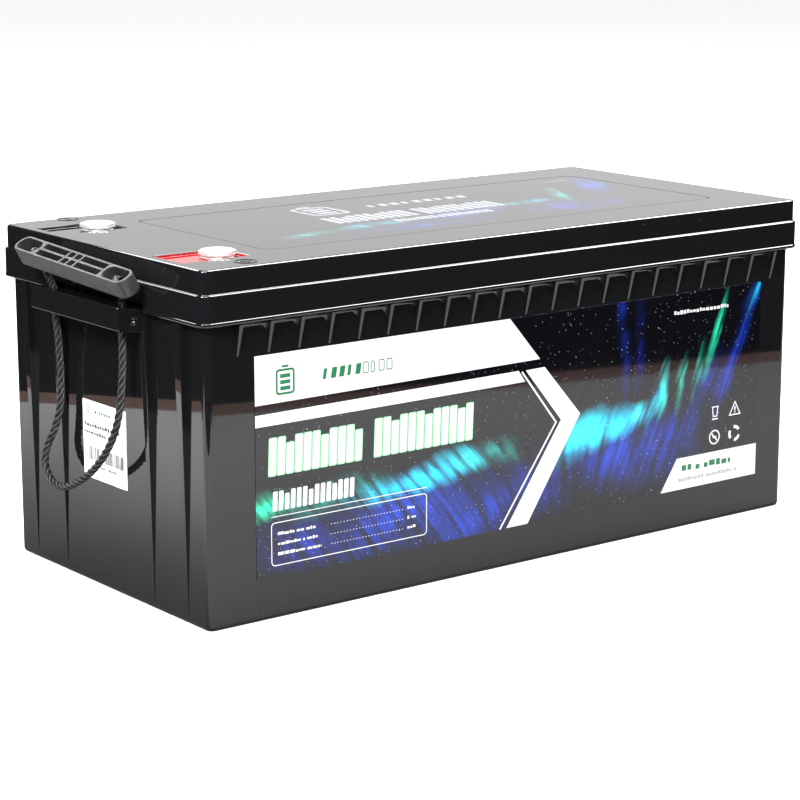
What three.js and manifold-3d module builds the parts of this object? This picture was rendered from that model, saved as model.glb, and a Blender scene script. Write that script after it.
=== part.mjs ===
// Deep cycle battery: a 12 V lithium iron phosphate block in a black moulded case.
// It has a rope handle at each end and its two terminals at one end.
// Millimetres, +Z up. The origin is the centre of the footprint, on the surface that the battery stands on.
// +X runs along the long side, with the two terminals at the -X end. The labelled front faces -Y.

import * as THREE from 'three';
import { mergeVertices } from 'three/addons/utils/BufferGeometryUtils.js';
import Module from 'manifold-3d';

// Overall sizes
const LENGTH = 520;
const WIDTH = 250;
const LID_TOP = 230;
const WALL = 3.5;
const GAP = 0.3;
const SKIN_GAP = 0.05;
// How far a cutting tool runs past the faces it opens, and how deep an added piece is rooted in its body
const PAST = 5;
const ROOT = 0.5;

// Case and lid
const CASE_INSET = 5.5;
const CASE_CORNER = 5;
const CASE_HALF_X = LENGTH / 2 - CASE_INSET;
const CASE_HALF_Y = WIDTH / 2 - CASE_INSET;
const RIM_TOP = 212;
const RIM_HEIGHT = 9;
const RIM_OUT = 2.1;
const CAVITY_CORNER = 2;
const SKIRT_BOTTOM = 194.6;
const SKIRT_WALL = 3;
const SKIRT_CORNER = 8;
const LEDGE_TOP = 214.6;
const LID_INSET = 2.3;
const LID_CORNER = 7;
const LID_PLATE = 4;
const LID_HOLLOW_CORNER = 4;
const SHOULDER = 213.4;
const GASKET = { inset: 0.3, clear: 0.2, inner: 0.4 };
const CORNER_STEPS = 5;
const HIDDEN_CORNER_STEPS = 3;

// Support fins under the skirt
const SIDE_FINS = 21;
const SIDE_FIN_PITCH = 23.3;
const SIDE_FIN_SHIFT = 2.4;
const SIDE_FIN_THICK = 2.2;
const SIDE_FIN_FOOT = 173.6;
const END_FIN_PLACES = [-95, -55, 55, 95];
const END_FIN_WIDTH = 7.6;
const END_FIN_TIP_WIDTH = 1.4;
const END_FIN_TIP_REACH = 0.2;
const END_FIN_FOOT = 6;
const FIN_REACH = CASE_INSET - 0.3;

// Handle bar, moulded on each end wall and tipped up outwards
const BAR_HALF = 55.2;
const BAR_REACH = 16.8;
const BAR_TOP = 200;
const BAR_HEIGHT = 15.3;
const BAR_RISE = 3.7;
const BAR_MIDDLE_X = LENGTH / 2 + 5.8;
const ROPE_HALF = 42;
const ROPE_HOLE = 8;
const BAR_DIMPLE = 5.6;
const BAR_DIMPLE_DEPTH = 4;
const NOTCH = { half: 57.5, top: 201, depth: 8 };

// Rope and grip
const ROPE = 5.2;
const ROPE_SIDES = 8;
const LOOP_STEPS = 26;
const LEG_STEPS = 6;
const KNOT = { radius: 4.3, outward: 2, lift: 4.8 };
const GRIP = { length: 132, width: 14.6, depth: 13, wall: 1.7, floor: 2, hole: 6.4 };
// How each grip rests beyond its bar, given at the -X end. The right one rests level and a little lower.
const GRIP_PLACE = {
  left: { x: -276.5, y: 0.2, z: 223.6, roll: 3, tilt: 29.4, yaw: 1 },
  right: { x: -276.5, y: 0.2, z: 223, roll: 0, tilt: 29.4, yaw: 1 },
};
const GRIP_CELL = { from: 40, to: 64 };
const GRIP_RIBS = [-38.4, -8, 0, 8, 38.4];
const GRIP_ROPE_HALF = 48;

// Terminals
const TERMINAL_X = -213.6;
const TERMINAL_Y = 73;
const POCKET = { x0: -251, x1: -200.6, half: 17.5, floor: 225.2 };
const INSERT = { seat: 1.4, floor: 2.9, wall: 1.2, top: 229.7 };
const POST = { flange: 21.4, neck: 14, bore: 8.8, top: 228.7, bottom: 207.5 };
const NECK_BORE = POST.neck + 2 * GAP;
const FLANGE_SIDES = 28;
const BOSS = { bottom: 220, wall: 2.6 };
const POST_SEAL = { diameter: 20, thick: 1.7 };
const POST_NUT = { flats: 19, bottom: 209.6, top: 214.9 };
const HEAD = { flats: 21.4, height: 3.2, top: 233, chamfer: 0.7, cornerCut: 0.2 };
const SHANK = { diameter: 8, length: 16 };
const WASHER = { diameter: 19, bore: 8.8, thick: 0.7, clear: 0.2 };

// Labels
const FRONT_LABEL = { x0: -218.5, x1: 226.5, z0: 27.3, z1: 172.3, thick: 0.3 };
const TOP_LABEL = { x0: -180.5, x1: 216, half: 80, corner: 9, thick: 0.3, recess: 0.4, clear: 0.2 };
const END_STICKER = { y0: -25.3, y1: 28.8, z0: 72.5, z1: 125, thick: 0.2 };

// Cells and what holds them
const CELL = { x: 54, y: 174, z: 202, corner: 3, pad: 1.8, base: 5.5, terminal: 57 };
const POLE = { diameter: 18, height: 3 };
const VENT = { diameter: 22, height: 0.8 };
const PAD_INSET = { y: 5, bottom: 4, top: 6 };
const PACK_X = 15;
const END_BOARD = { thick: 3, halfY: 86, below: 2 };
const STRAP = { wide: 16, thick: 0.8, clear: 0.4, corner: 4, heights: [60, 150] };
const BUSBAR = { past: 11, half: 10, clear: 0.2, thick: 2, humpHalf: 6, hump: 2 };
const OUTPUT_TAB = { half: 10, thick: 1.6, hole: 6.8 };
const OUTPUT_SCREW = { flats: 10, head: 4, shank: 6, seat: 4.6, tip: 0.3 };

// Cables and their ring lugs
const CABLE = 7.6;
const LUG = { thick: 2.4, tongueHalf: 4, tongue: 8, barrel: 4.6, barrelLength: 16 };
const POST_LUG = { outer: 20, z: 215.2, lift: -0.8 };
const TAB_LUG = { outer: 16, lift: 1.2 };
const HARNESS = { diameter: 4, z: 212.4 };

// Battery management board, upright between the cells and the terminal end
const BOARD = { x: -108, thick: 2, half: 70, z0: 70, z1: 192 };
const TRANSISTOR = { count: 8, pitch: 16, first: -62, wide: 10, proud: 6.5, z0: 150, z1: 164 };
const SOCKET = { half: 16, proud: 9, z0: 180, z1: 190 };
const CABLE_BLOCK = { y: 50, half: 8, proud: 12, z0: 172, z1: 185.6 };
const CHIP = { half: 30, proud: 7, z0: 100, z1: 130 };
const HEAT_PLATE = { gap: 0.4, thick: 3.2, half: 75, z0: 66, z1: 196 };

// Padding
const SIDE_CLEAR = 0.6;
const BASE_PAD = { x0: -104, x1: 133, half: 88 };
const FOAM = { leftX: -150, leftTop: 165, rightX: 134, rightTop: 205 };

const wasm = await Module();
wasm.setup();

// --- Solids ---------------------------------------------------------------------------------------

function solidOf(geometry) {
  const bare = geometry.clone();
  bare.deleteAttribute('normal');
  bare.deleteAttribute('uv');
  const merged = mergeVertices(bare, 1e-4);
  return new wasm.Manifold(new wasm.Mesh({
    numProp: 3,
    vertProperties: new Float32Array(merged.attributes.position.array),
    triVerts: new Uint32Array(merged.index.array),
  }));
}

function geometryOf(solid) {
  const mesh = solid.getMesh();
  const geometry = new THREE.BufferGeometry();
  geometry.setAttribute('position', new THREE.BufferAttribute(new Float32Array(mesh.vertProperties), 3));
  geometry.setIndex(new THREE.BufferAttribute(new Uint32Array(mesh.triVerts), 1));
  geometry.computeVertexNormals();
  return geometry;
}

const join = (solids) => solids.reduce((sum, next) => sum.add(next));
const cut = (body, tools) => tools.reduce((left, tool) => left.subtract(tool), body);

// A box between two corners.
function block(x0, x1, y0, y1, z0, z1) {
  const geometry = new THREE.BoxGeometry(x1 - x0, y1 - y0, z1 - z0);
  geometry.translate((x0 + x1) / 2, (y0 + y1) / 2, (z0 + z1) / 2);
  return solidOf(geometry);
}

function roundedOutline(halfX, halfY, radius) {
  const shape = new THREE.Shape();
  shape.moveTo(halfX - radius, -halfY);
  shape.absarc(halfX - radius, radius - halfY, radius, -Math.PI / 2, 0);
  shape.absarc(halfX - radius, halfY - radius, radius, 0, Math.PI / 2);
  shape.absarc(radius - halfX, halfY - radius, radius, Math.PI / 2, Math.PI);
  shape.absarc(radius - halfX, radius - halfY, radius, Math.PI, 1.5 * Math.PI);
  return shape;
}

// An upright slab with rounded vertical corners, centred on x = y = 0.
function slab(halfX, halfY, radius, z0, z1, steps = CORNER_STEPS) {
  const geometry = new THREE.ExtrudeGeometry(roundedOutline(halfX, halfY, radius), {
    depth: z1 - z0,
    bevelEnabled: false,
    curveSegments: steps,
  });
  geometry.translate(0, 0, z0);
  return solidOf(geometry);
}

function upright(diameter, z0, z1, x, y, sides = 20) {
  const geometry = new THREE.CylinderGeometry(diameter / 2, diameter / 2, z1 - z0, sides);
  geometry.rotateX(Math.PI / 2);
  geometry.translate(x, y, (z0 + z1) / 2);
  return solidOf(geometry);
}

// An outline given as [x, z] points, swept along Y from y0 to y1.
function sweptAlongY(points, y0, y1) {
  const shape = new THREE.Shape(points.map(([x, z]) => new THREE.Vector2(x, z)));
  const geometry = new THREE.ExtrudeGeometry(shape, { depth: y1 - y0, bevelEnabled: false });
  geometry.rotateX(Math.PI / 2);
  geometry.translate(0, y1, 0);
  return solidOf(geometry);
}

// A prism whose top and bottom outlines are rectangles of different size: a tapering fin.
function taper(top, bottom) {
  const geometry = new THREE.BoxGeometry(1, 1, 1);
  const position = geometry.attributes.position;
  for (let i = 0; i < position.count; i += 1) {
    const end = position.getZ(i) > 0 ? top : bottom;
    const x = position.getX(i) > 0 ? end.x1 : end.x0;
    const y = position.getY(i) > 0 ? end.y1 : end.y0;
    position.setXYZ(i, x, y, end.z);
  }
  return solidOf(geometry);
}

// A round tube with closed ends along a smooth curve through the points.
function tube(points, diameter, sides, steps) {
  const path = new THREE.CatmullRomCurve3(points.map((p) => new THREE.Vector3(...p)), false, 'centripetal');
  const section = new THREE.Shape();
  for (let i = 0; i < sides; i += 1) {
    const angle = (2 * Math.PI * i) / sides;
    const x = (diameter / 2) * Math.cos(angle);
    const y = (diameter / 2) * Math.sin(angle);
    if (i === 0) section.moveTo(x, y);
    else section.lineTo(x, y);
  }
  section.closePath();
  const geometry = new THREE.ExtrudeGeometry(section, { steps, bevelEnabled: false, extrudePath: path });
  return solidOf(geometry);
}

// --- Materials ------------------------------------------------------------------------------------

const material = (color, roughness, metalness = 0) =>
  new THREE.MeshStandardMaterial({ color, roughness, metalness });

const blackPlastic = material(0x0b0c0f, 0.12);
const greyPlastic = material(0x6a6c70, 0.5);
const redPlastic = material(0xd51f1c, 0.3);
const rope = material(0x121214, 0.7);
const nickel = material(0xd9dadb, 0.2, 1);
const aluminium = material(0xb9bcc0, 0.4, 1);
const copper = material(0xb86a3c, 0.35, 1);
const blueFilm = material(0x2353a8, 0.4);
const foam = material(0x2c2c2e, 0.95);
const rubber = material(0x1a1a1a, 0.85);
const board = material(0x1f5b35, 0.5);
const epoxyBoard = material(0xc2b26a, 0.6);
const strapPlastic = material(0x3a7f46, 0.5);
const label = material(0x15256a, 0.3);
const paper = material(0xf1f1ee, 0.6);
const redJacket = material(0xb02020, 0.6);
const blackJacket = material(0x161616, 0.6);

const battery = new THREE.Group();

function add(name, solid, look, parent = battery) {
  const mesh = new THREE.Mesh(geometryOf(solid), look);
  mesh.name = name;
  parent.add(mesh);
  return mesh;
}

// --- Case -----------------------------------------------------------------------------------------

// A thin wedge on the front wall (side -1) or the back wall (side 1).
function sideFin(x, side) {
  const wall = side * (CASE_HALF_Y - ROOT);
  const edge = side * (CASE_HALF_Y + FIN_REACH);
  const foot = side * CASE_HALF_Y;
  const half = SIDE_FIN_THICK / 2;
  const ends = (a, b) => ({ x0: x - half, x1: x + half, y0: Math.min(a, b), y1: Math.max(a, b) });
  return taper(
    { ...ends(wall, edge), z: SKIRT_BOTTOM - GAP },
    { ...ends(wall, foot), z: SIDE_FIN_FOOT },
  );
}

// A long wedge on an end wall: it narrows and runs out to nothing near the base.
function endFin(y, side) {
  const wall = side * (CASE_HALF_X - ROOT);
  const spread = (reach, width) => {
    const out = side * (CASE_HALF_X + reach);
    return { x0: Math.min(wall, out), x1: Math.max(wall, out), y0: y - width / 2, y1: y + width / 2 };
  };
  return taper(
    { ...spread(FIN_REACH, END_FIN_WIDTH), z: SKIRT_BOTTOM - GAP },
    { ...spread(END_FIN_TIP_REACH, END_FIN_TIP_WIDTH), z: END_FIN_FOOT },
  );
}

function handleBar(side) {
  const outer = side * (LENGTH / 2 + BAR_REACH);
  const wall = side * (CASE_HALF_X - 2 * ROOT);
  const bar = sweptAlongY([
    [outer, BAR_TOP],
    [outer, BAR_TOP - BAR_HEIGHT],
    [wall, BAR_TOP - BAR_HEIGHT - BAR_RISE],
    [wall, BAR_TOP - BAR_RISE],
  ], -BAR_HALF, BAR_HALF);
  const holes = [-ROPE_HALF, ROPE_HALF].map((y) =>
    upright(ROPE_HOLE, BAR_TOP - BAR_HEIGHT - BAR_RISE - PAST, BAR_TOP + PAST, side * BAR_MIDDLE_X, y, 16));
  const dimples = [-1, 1].map((end) => {
    const geometry = new THREE.CylinderGeometry(BAR_DIMPLE / 2, BAR_DIMPLE / 2, 2 * BAR_DIMPLE_DEPTH, 12);
    geometry.translate(side * BAR_MIDDLE_X, end * BAR_HALF, BAR_TOP - (BAR_HEIGHT + BAR_RISE) / 2);
    return solidOf(geometry);
  });
  return cut(bar, [...holes, ...dimples]);
}

function buildCase() {
  const body = slab(CASE_HALF_X, CASE_HALF_Y, CASE_CORNER, 0, RIM_TOP);
  const rim = slab(CASE_HALF_X + RIM_OUT, CASE_HALF_Y + RIM_OUT, CASE_CORNER + RIM_OUT,
    RIM_TOP - RIM_HEIGHT, RIM_TOP);
  const fins = [];
  for (let i = 0; i < SIDE_FINS; i += 1) {
    const x = (i - (SIDE_FINS - 1) / 2) * SIDE_FIN_PITCH + SIDE_FIN_SHIFT;
    fins.push(sideFin(x, -1), sideFin(-x, 1));
  }
  for (const side of [-1, 1]) {
    for (const y of END_FIN_PLACES) fins.push(endFin(y, side));
  }
  const cavity = slab(CASE_HALF_X - WALL, CASE_HALF_Y - WALL, CAVITY_CORNER, WALL, RIM_TOP + PAST,
    HIDDEN_CORNER_STEPS);
  return cut(join([body, rim, ...fins, handleBar(-1), handleBar(1)]), [cavity]);
}

// --- Lid ------------------------------------------------------------------------------------------

const pocketBlock = (side, spread, z0, z1) => block(
  POCKET.x0 - spread, POCKET.x1 + spread,
  side * TERMINAL_Y - POCKET.half - spread, side * TERMINAL_Y + POCKET.half + spread,
  z0, z1,
);

function topLabelSlab(grow, z0, z1) {
  const halfX = (TOP_LABEL.x1 - TOP_LABEL.x0) / 2 + grow;
  return slab(halfX, TOP_LABEL.half + grow, TOP_LABEL.corner + grow, z0, z1)
    .translate([(TOP_LABEL.x0 + TOP_LABEL.x1) / 2, 0, 0]);
}

function buildLid() {
  const upperX = LENGTH / 2 - LID_INSET;
  const upperY = WIDTH / 2 - LID_INSET;
  const upper = slab(upperX, upperY, LID_CORNER, LEDGE_TOP - ROOT, LID_TOP);
  const skirt = slab(LENGTH / 2, WIDTH / 2, SKIRT_CORNER, SKIRT_BOTTOM, LEDGE_TOP);
  const hollow = slab(upperX - WALL, upperY - WALL, LID_HOLLOW_CORNER,
    SKIRT_BOTTOM - PAST, LID_TOP - LID_PLATE, HIDDEN_CORNER_STEPS);
  const wide = slab(LENGTH / 2 - SKIRT_WALL, WIDTH / 2 - SKIRT_WALL, SKIRT_CORNER - SKIRT_WALL,
    SKIRT_BOTTOM - PAST, SHOULDER);
  const shell = cut(join([upper, skirt]), [hollow, wide]);
  const bosses = [-1, 1].map((side) => pocketBlock(side, BOSS.wall, BOSS.bottom, LID_TOP - ROOT));
  const pockets = [-1, 1].map((side) => pocketBlock(side, 0, POCKET.floor, LID_TOP + PAST));
  const bores = [-1, 1].map((side) =>
    upright(NECK_BORE, BOSS.bottom - PAST, LID_TOP, TERMINAL_X, side * TERMINAL_Y));
  const notches = [-1, 1].map((side) => {
    const inner = side * (LENGTH / 2 - NOTCH.depth);
    const outer = side * (LENGTH / 2 + PAST);
    return block(Math.min(inner, outer), Math.max(inner, outer), -NOTCH.half, NOTCH.half,
      SKIRT_BOTTOM - PAST, NOTCH.top);
  });
  const labelRecess = topLabelSlab(TOP_LABEL.clear, LID_TOP - TOP_LABEL.recess, LID_TOP + PAST);
  return cut(join([shell, ...bosses]), [...pockets, ...bores, ...notches, labelRecess]);
}

function buildGasket() {
  const { inset, clear, inner } = GASKET;
  const out = RIM_OUT - inset;
  const ring = slab(CASE_HALF_X + out, CASE_HALF_Y + out, CASE_CORNER + out,
    RIM_TOP + clear, SHOULDER - clear);
  const hole = slab(CASE_HALF_X - inner, CASE_HALF_Y - inner, CASE_CORNER - inner,
    RIM_TOP - PAST, SHOULDER + PAST);
  return ring.subtract(hole);
}

add('case', buildCase(), blackPlastic);
add('lid', buildLid(), blackPlastic);
add('lid_gasket', buildGasket(), rubber);

// --- Terminals ------------------------------------------------------------------------------------

function hexagon(flats, z0, z1, x, y) {
  return upright(flats / Math.cos(Math.PI / 6), z0, z1, x, y, 6);
}

// A wide hexagonal head with its corners turned down above and below.
function boltHead(x, y) {
  const { flats, height, top, chamfer, cornerCut } = HEAD;
  const corner = flats / 2 / Math.cos(Math.PI / 6);
  const profile = [
    [0, 0],
    [flats / 2 - cornerCut, 0],
    [corner, chamfer],
    [corner, height - chamfer],
    [flats / 2 - cornerCut, height],
    [0, height],
  ].map(([r, z]) => new THREE.Vector2(r, z));
  const turned = new THREE.LatheGeometry(profile, 24);
  turned.rotateX(Math.PI / 2);
  turned.translate(x, y, top - height);
  return hexagon(flats, top - height, top, x, y).intersect(solidOf(turned));
}

function buildTerminal(name, side, insertLook) {
  const y = side * TERMINAL_Y;
  const insertFloor = POCKET.floor + GAP;
  const tray = cut(pocketBlock(side, -GAP, insertFloor, INSERT.top), [
    pocketBlock(side, -GAP - INSERT.wall, insertFloor + INSERT.floor, INSERT.top + PAST),
    upright(POST.flange + 2 * GAP, insertFloor + INSERT.seat - GAP, INSERT.top, TERMINAL_X, y, FLANGE_SIDES),
    upright(NECK_BORE, insertFloor - PAST, INSERT.top, TERMINAL_X, y),
  ]);
  add(`${name}_terminal_insert`, tray, insertLook);

  const flangeBottom = insertFloor + INSERT.seat;
  const post = cut(join([
    upright(POST.flange, flangeBottom, POST.top, TERMINAL_X, y, FLANGE_SIDES),
    upright(POST.neck, POST.bottom, flangeBottom + ROOT, TERMINAL_X, y),
  ]), [upright(POST.bore, POST.bottom - PAST, POST.top + PAST, TERMINAL_X, y)]);
  add(`${name}_terminal_post`, post, nickel);

  const neckHole = upright(NECK_BORE, POST.bottom - PAST, POST.top, TERMINAL_X, y);
  const sealTop = BOSS.bottom - GAP;
  const seal = upright(POST_SEAL.diameter, sealTop - POST_SEAL.thick, sealTop, TERMINAL_X, y);
  add(`${name}_post_seal`, seal.subtract(neckHole), rubber);
  const nut = hexagon(POST_NUT.flats, POST_NUT.bottom, POST_NUT.top, TERMINAL_X, y);
  add(`${name}_post_nut`, nut.subtract(neckHole), nickel);

  const washerBottom = POST.top + WASHER.clear;
  const washer = cut(upright(WASHER.diameter, washerBottom, washerBottom + WASHER.thick, TERMINAL_X, y), [
    upright(WASHER.bore, POST.top - PAST, POST.top + PAST, TERMINAL_X, y),
  ]);
  add(`${name}_terminal_washer`, washer, nickel);

  const underHead = HEAD.top - HEAD.height;
  const bolt = boltHead(TERMINAL_X, y).add(
    upright(SHANK.diameter, underHead - SHANK.length, underHead + ROOT, TERMINAL_X, y, 16));
  add(`${name}_terminal_bolt`, bolt, nickel);
}

buildTerminal('positive', -1, redPlastic);
buildTerminal('negative', 1, blackPlastic);

// --- Labels ---------------------------------------------------------------------------------------

function buildFrontLabel() {
  const { x0, x1, z0, z1, thick } = FRONT_LABEL;
  const back = -CASE_HALF_Y - SKIN_GAP;
  return block(x0, x1, back - thick, back, z0, z1);
}

function buildEndSticker() {
  const { y0, y1, z0, z1, thick } = END_STICKER;
  const back = -CASE_HALF_X - SKIN_GAP;
  return block(back - thick, back, y0, y1, z0, z1);
}

const topLabelBase = LID_TOP - TOP_LABEL.recess + SKIN_GAP;
add('front_label', buildFrontLabel(), label);
add('top_label', topLabelSlab(0, topLabelBase, topLabelBase + TOP_LABEL.thick), label);
add('end_sticker', buildEndSticker(), paper);

// --- Cell pack ------------------------------------------------------------------------------------

const cellPitch = CELL.x + CELL.pad;
const cellX = (i) => PACK_X + (i - 1.5) * cellPitch;
const cellTop = CELL.base + CELL.z;
const tabTop = cellTop + POLE.height;
const packHalf = 2 * cellPitch - CELL.pad / 2;

function buildCell(i) {
  const can = slab(CELL.x / 2, CELL.y / 2, CELL.corner, CELL.base, cellTop, 2).translate([cellX(i), 0, 0]);
  const poles = [-1, 1].map((side) =>
    upright(POLE.diameter, cellTop - ROOT, tabTop, cellX(i), side * CELL.terminal, 16));
  const vent = upright(VENT.diameter, cellTop - ROOT, cellTop + VENT.height, cellX(i), 0, 16);
  return join([can, ...poles, vent]);
}

function strap(z) {
  const { wide, thick, clear, corner } = STRAP;
  const outerX = packHalf + END_BOARD.thick + 2 * GAP + clear + thick;
  const outerY = CELL.y / 2 + clear + thick;
  const outer = slab(outerX, outerY, corner, z, z + wide, HIDDEN_CORNER_STEPS);
  const inner = slab(outerX - thick, outerY - thick, corner - thick, z - PAST, z + wide + PAST,
    HIDDEN_CORNER_STEPS);
  return outer.subtract(inner).translate([PACK_X, 0, 0]);
}

for (let i = 0; i < 4; i += 1) add(`cell_${i + 1}`, buildCell(i), blueFilm);
for (let i = 0; i < 3; i += 1) {
  const middle = (cellX(i) + cellX(i + 1)) / 2;
  const half = CELL.pad / 2 - GAP;
  const halfY = CELL.y / 2 - PAD_INSET.y;
  const pad = block(middle - half, middle + half, -halfY, halfY,
    CELL.base + PAD_INSET.bottom, cellTop - PAD_INSET.top);
  add(`cell_pad_${i + 1}`, pad, foam);
}
for (const [name, side] of [['pack_board_left', -1], ['pack_board_right', 1]]) {
  const near = PACK_X + side * (packHalf + GAP);
  const far = near + side * END_BOARD.thick;
  const panel = block(Math.min(near, far), Math.max(near, far), -END_BOARD.halfY, END_BOARD.halfY,
    CELL.base, cellTop - END_BOARD.below);
  add(name, panel, epoxyBoard);
}
STRAP.heights.forEach((z, i) => add(`pack_strap_${i + 1}`, strap(z), strapPlastic));

// Series links: cell 1 to 2 and cell 3 to 4 at the back, cell 2 to 3 at the front.
[[0, 1], [1, -1], [2, 1]].forEach(([i, side], n) => {
  const { past, half, clear, thick, humpHalf, hump } = BUSBAR;
  const y = side * CELL.terminal;
  const top = tabTop + clear + thick;
  const plate = block(cellX(i) - past, cellX(i + 1) + past, y - half, y + half, tabTop + clear, top);
  const middle = (cellX(i) + cellX(i + 1)) / 2;
  const bend = block(middle - humpHalf, middle + humpHalf, y - half, y + half, top - ROOT, top + hump);
  add(`busbar_${n + 1}`, plate.add(bend), aluminium);
});

// The pack's two output tabs, each with the screw that holds its cable.
for (const [name, i] of [['negative', 0], ['positive', 3]]) {
  const x = cellX(i);
  const y = -CELL.terminal;
  const { half, thick, hole } = OUTPUT_TAB;
  const bottom = tabTop + BUSBAR.clear;
  const tab = block(x - half, x + half, y - half, y + half, bottom, bottom + thick);
  add(`${name}_output_tab`, tab.subtract(upright(hole, bottom - PAST, bottom + PAST, x, y, 16)), copper);
  const { flats, head, shank, seat, tip } = OUTPUT_SCREW;
  const screw = hexagon(flats, tabTop + seat, tabTop + seat + head, x, y).add(
    upright(shank, tabTop + tip, tabTop + seat + ROOT, x, y, 16));
  add(`${name}_output_screw`, screw, nickel);
}

// --- Cables ---------------------------------------------------------------------------------------

// A ring lug: an eye with a barrel, cranked by lift, that points along the direction given in degrees.
function lug(x, y, z, outer, bore, heading, lift) {
  const { thick, tongueHalf, tongue, barrel, barrelLength } = LUG;
  const eye = upright(outer, z, z + thick, x, y);
  const reach = outer / 2 + tongue;
  const flat = block(0, reach, -tongueHalf, tongueHalf, z, z + thick);
  const crimp = new THREE.CylinderGeometry(barrel, barrel, barrelLength, 10);
  crimp.rotateZ(Math.PI / 2);
  crimp.translate(reach + barrelLength / 4, 0, z + lift);
  const arm = flat.add(solidOf(crimp)).rotate([0, 0, heading]).translate([x, y, 0]);
  return eye.add(arm).subtract(upright(bore, z - PAST, z + 2 * PAST, x, y));
}

const postLug = (side) =>
  lug(TERMINAL_X, side * TERMINAL_Y, POST_LUG.z, POST_LUG.outer, NECK_BORE, 0, POST_LUG.lift);
const tabLug = (i) =>
  lug(cellX(i), -CELL.terminal, tabTop + 2, TAB_LUG.outer, OUTPUT_TAB.hole, 180, TAB_LUG.lift);

const positiveCable = join([
  postLug(-1),
  tabLug(3),
  tube([[-188, -73, 214.4], [-160, -74, 214.4], [-110, -78, 215], [-50, -80, 215], [10, -80, 215],
    [50, -76, 214.6], [70, -63, 214.2], [80, -57, 213.7]], CABLE, 8, 16),
]);
const packNegativeCable = join([
  tabLug(0),
  tube([[-88, -57, 213.7], [-100, -56, 212.4], [-112, -54, 205], [-116, -51, 196], [-116, -50, 190],
    [-116, -50, 186.2]], CABLE, 8, 10),
]);
const outputCable = join([
  postLug(1),
  tube([[-188, 73, 214.4], [-165, 73, 214.4], [-140, 68, 212], [-122, 58, 205], [-116, 51, 196],
    [-116, 50, 190], [-116, 50, 186.2]], CABLE, 8, 12),
]);
add('positive_cable', positiveCable, redJacket);
add('pack_negative_cable', packNegativeCable, blackJacket);
add('negative_output_cable', outputCable, blackJacket);
const senseHarness = tube([[-113, 0, 195], [-113, 0, 204], [-104, 0, 210.5], [-88, 0, HARNESS.z],
  [-40, 0, HARNESS.z], [30, 0, HARNESS.z], [95, 0, HARNESS.z]], HARNESS.diameter, 6, 14);
add('sense_harness', senseHarness, rubber);

// --- Battery management board ---------------------------------------------------------------------

// A part on the board's terminal side, standing proud of it.
const onBoard = ({ proud, z0, z1 }, y0, y1) => block(BOARD.x - proud, BOARD.x - 2 * ROOT, y0, y1, z0, z1);

function buildBoard() {
  const parts = [block(BOARD.x - BOARD.thick, BOARD.x, -BOARD.half, BOARD.half, BOARD.z0, BOARD.z1)];
  for (let i = 0; i < TRANSISTOR.count; i += 1) {
    const y = TRANSISTOR.first + i * TRANSISTOR.pitch;
    parts.push(onBoard(TRANSISTOR, y, y + TRANSISTOR.wide));
  }
  for (const side of [-1, 1]) {
    const y = side * CABLE_BLOCK.y;
    parts.push(onBoard(CABLE_BLOCK, y - CABLE_BLOCK.half, y + CABLE_BLOCK.half));
  }
  parts.push(onBoard(SOCKET, -SOCKET.half, SOCKET.half));
  parts.push(onBoard(CHIP, -CHIP.half, CHIP.half));
  return join(parts);
}

function buildHeatPlate() {
  const x = BOARD.x + HEAT_PLATE.gap;
  return block(x, x + HEAT_PLATE.thick, -HEAT_PLATE.half, HEAT_PLATE.half, HEAT_PLATE.z0, HEAT_PLATE.z1);
}

add('bms_board', buildBoard(), board);
add('bms_heat_plate', buildHeatPlate(), aluminium);

// --- Padding --------------------------------------------------------------------------------------

const inside = { x: CASE_HALF_X - WALL - SIDE_CLEAR, y: CASE_HALF_Y - WALL - SIDE_CLEAR, z: WALL + GAP };
const basePad = block(BASE_PAD.x0, BASE_PAD.x1, -BASE_PAD.half, BASE_PAD.half, inside.z, CELL.base - GAP);
add('base_pad', basePad, rubber);
add('foam_block_left', block(-inside.x, FOAM.leftX, -inside.y, inside.y, inside.z, FOAM.leftTop), foam);
add('foam_block_right', block(FOAM.rightX, inside.x, -inside.y, inside.y, inside.z, FOAM.rightTop), foam);

// --- Rope handles ---------------------------------------------------------------------------------

const barUnderside = BAR_TOP - BAR_HEIGHT - BAR_RISE / 2;
const handleX = -BAR_MIDDLE_X;

// The slack of the rope, from one hole in the bar to the other. It leans away from the wall at the bottom.
const LOOP_ROUTE = [
  [handleX, ROPE_HALF, barUnderside - GAP],
  [handleX + 0.5, 42.2, 178],
  [-263.8, 42.6, 167.5],
  [-262.2, 44, 149],
  [-261.6, 44.6, 132.5],
  [-262.2, 46.3, 115],
  [-264.2, 51.8, 99.6],
  [-266.6, 57.6, 87],
  [-268.6, 56.6, 76.6],
  [-270.4, 46.5, 69],
  [-271.8, 32, 66.8],
  [-272.6, 17, 70.5],
  [-272.8, 1, 78],
  [-272.4, -13.5, 87.6],
  [-271, -25.5, 99.5],
  [-269, -34, 113.5],
  [-267.4, -39.2, 130.5],
  [-266.2, -41.4, 151],
  [handleX, -ROPE_HALF, 169.5],
  [handleX, -ROPE_HALF, barUnderside - GAP],
];

function gripPose({ x, y, z, roll, tilt, yaw }) {
  const turns = [roll, -tilt, yaw].map(THREE.MathUtils.degToRad);
  return new THREE.Matrix4().makeRotationFromEuler(new THREE.Euler(...turns, 'ZXY')).setPosition(x, y, z);
}

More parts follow.
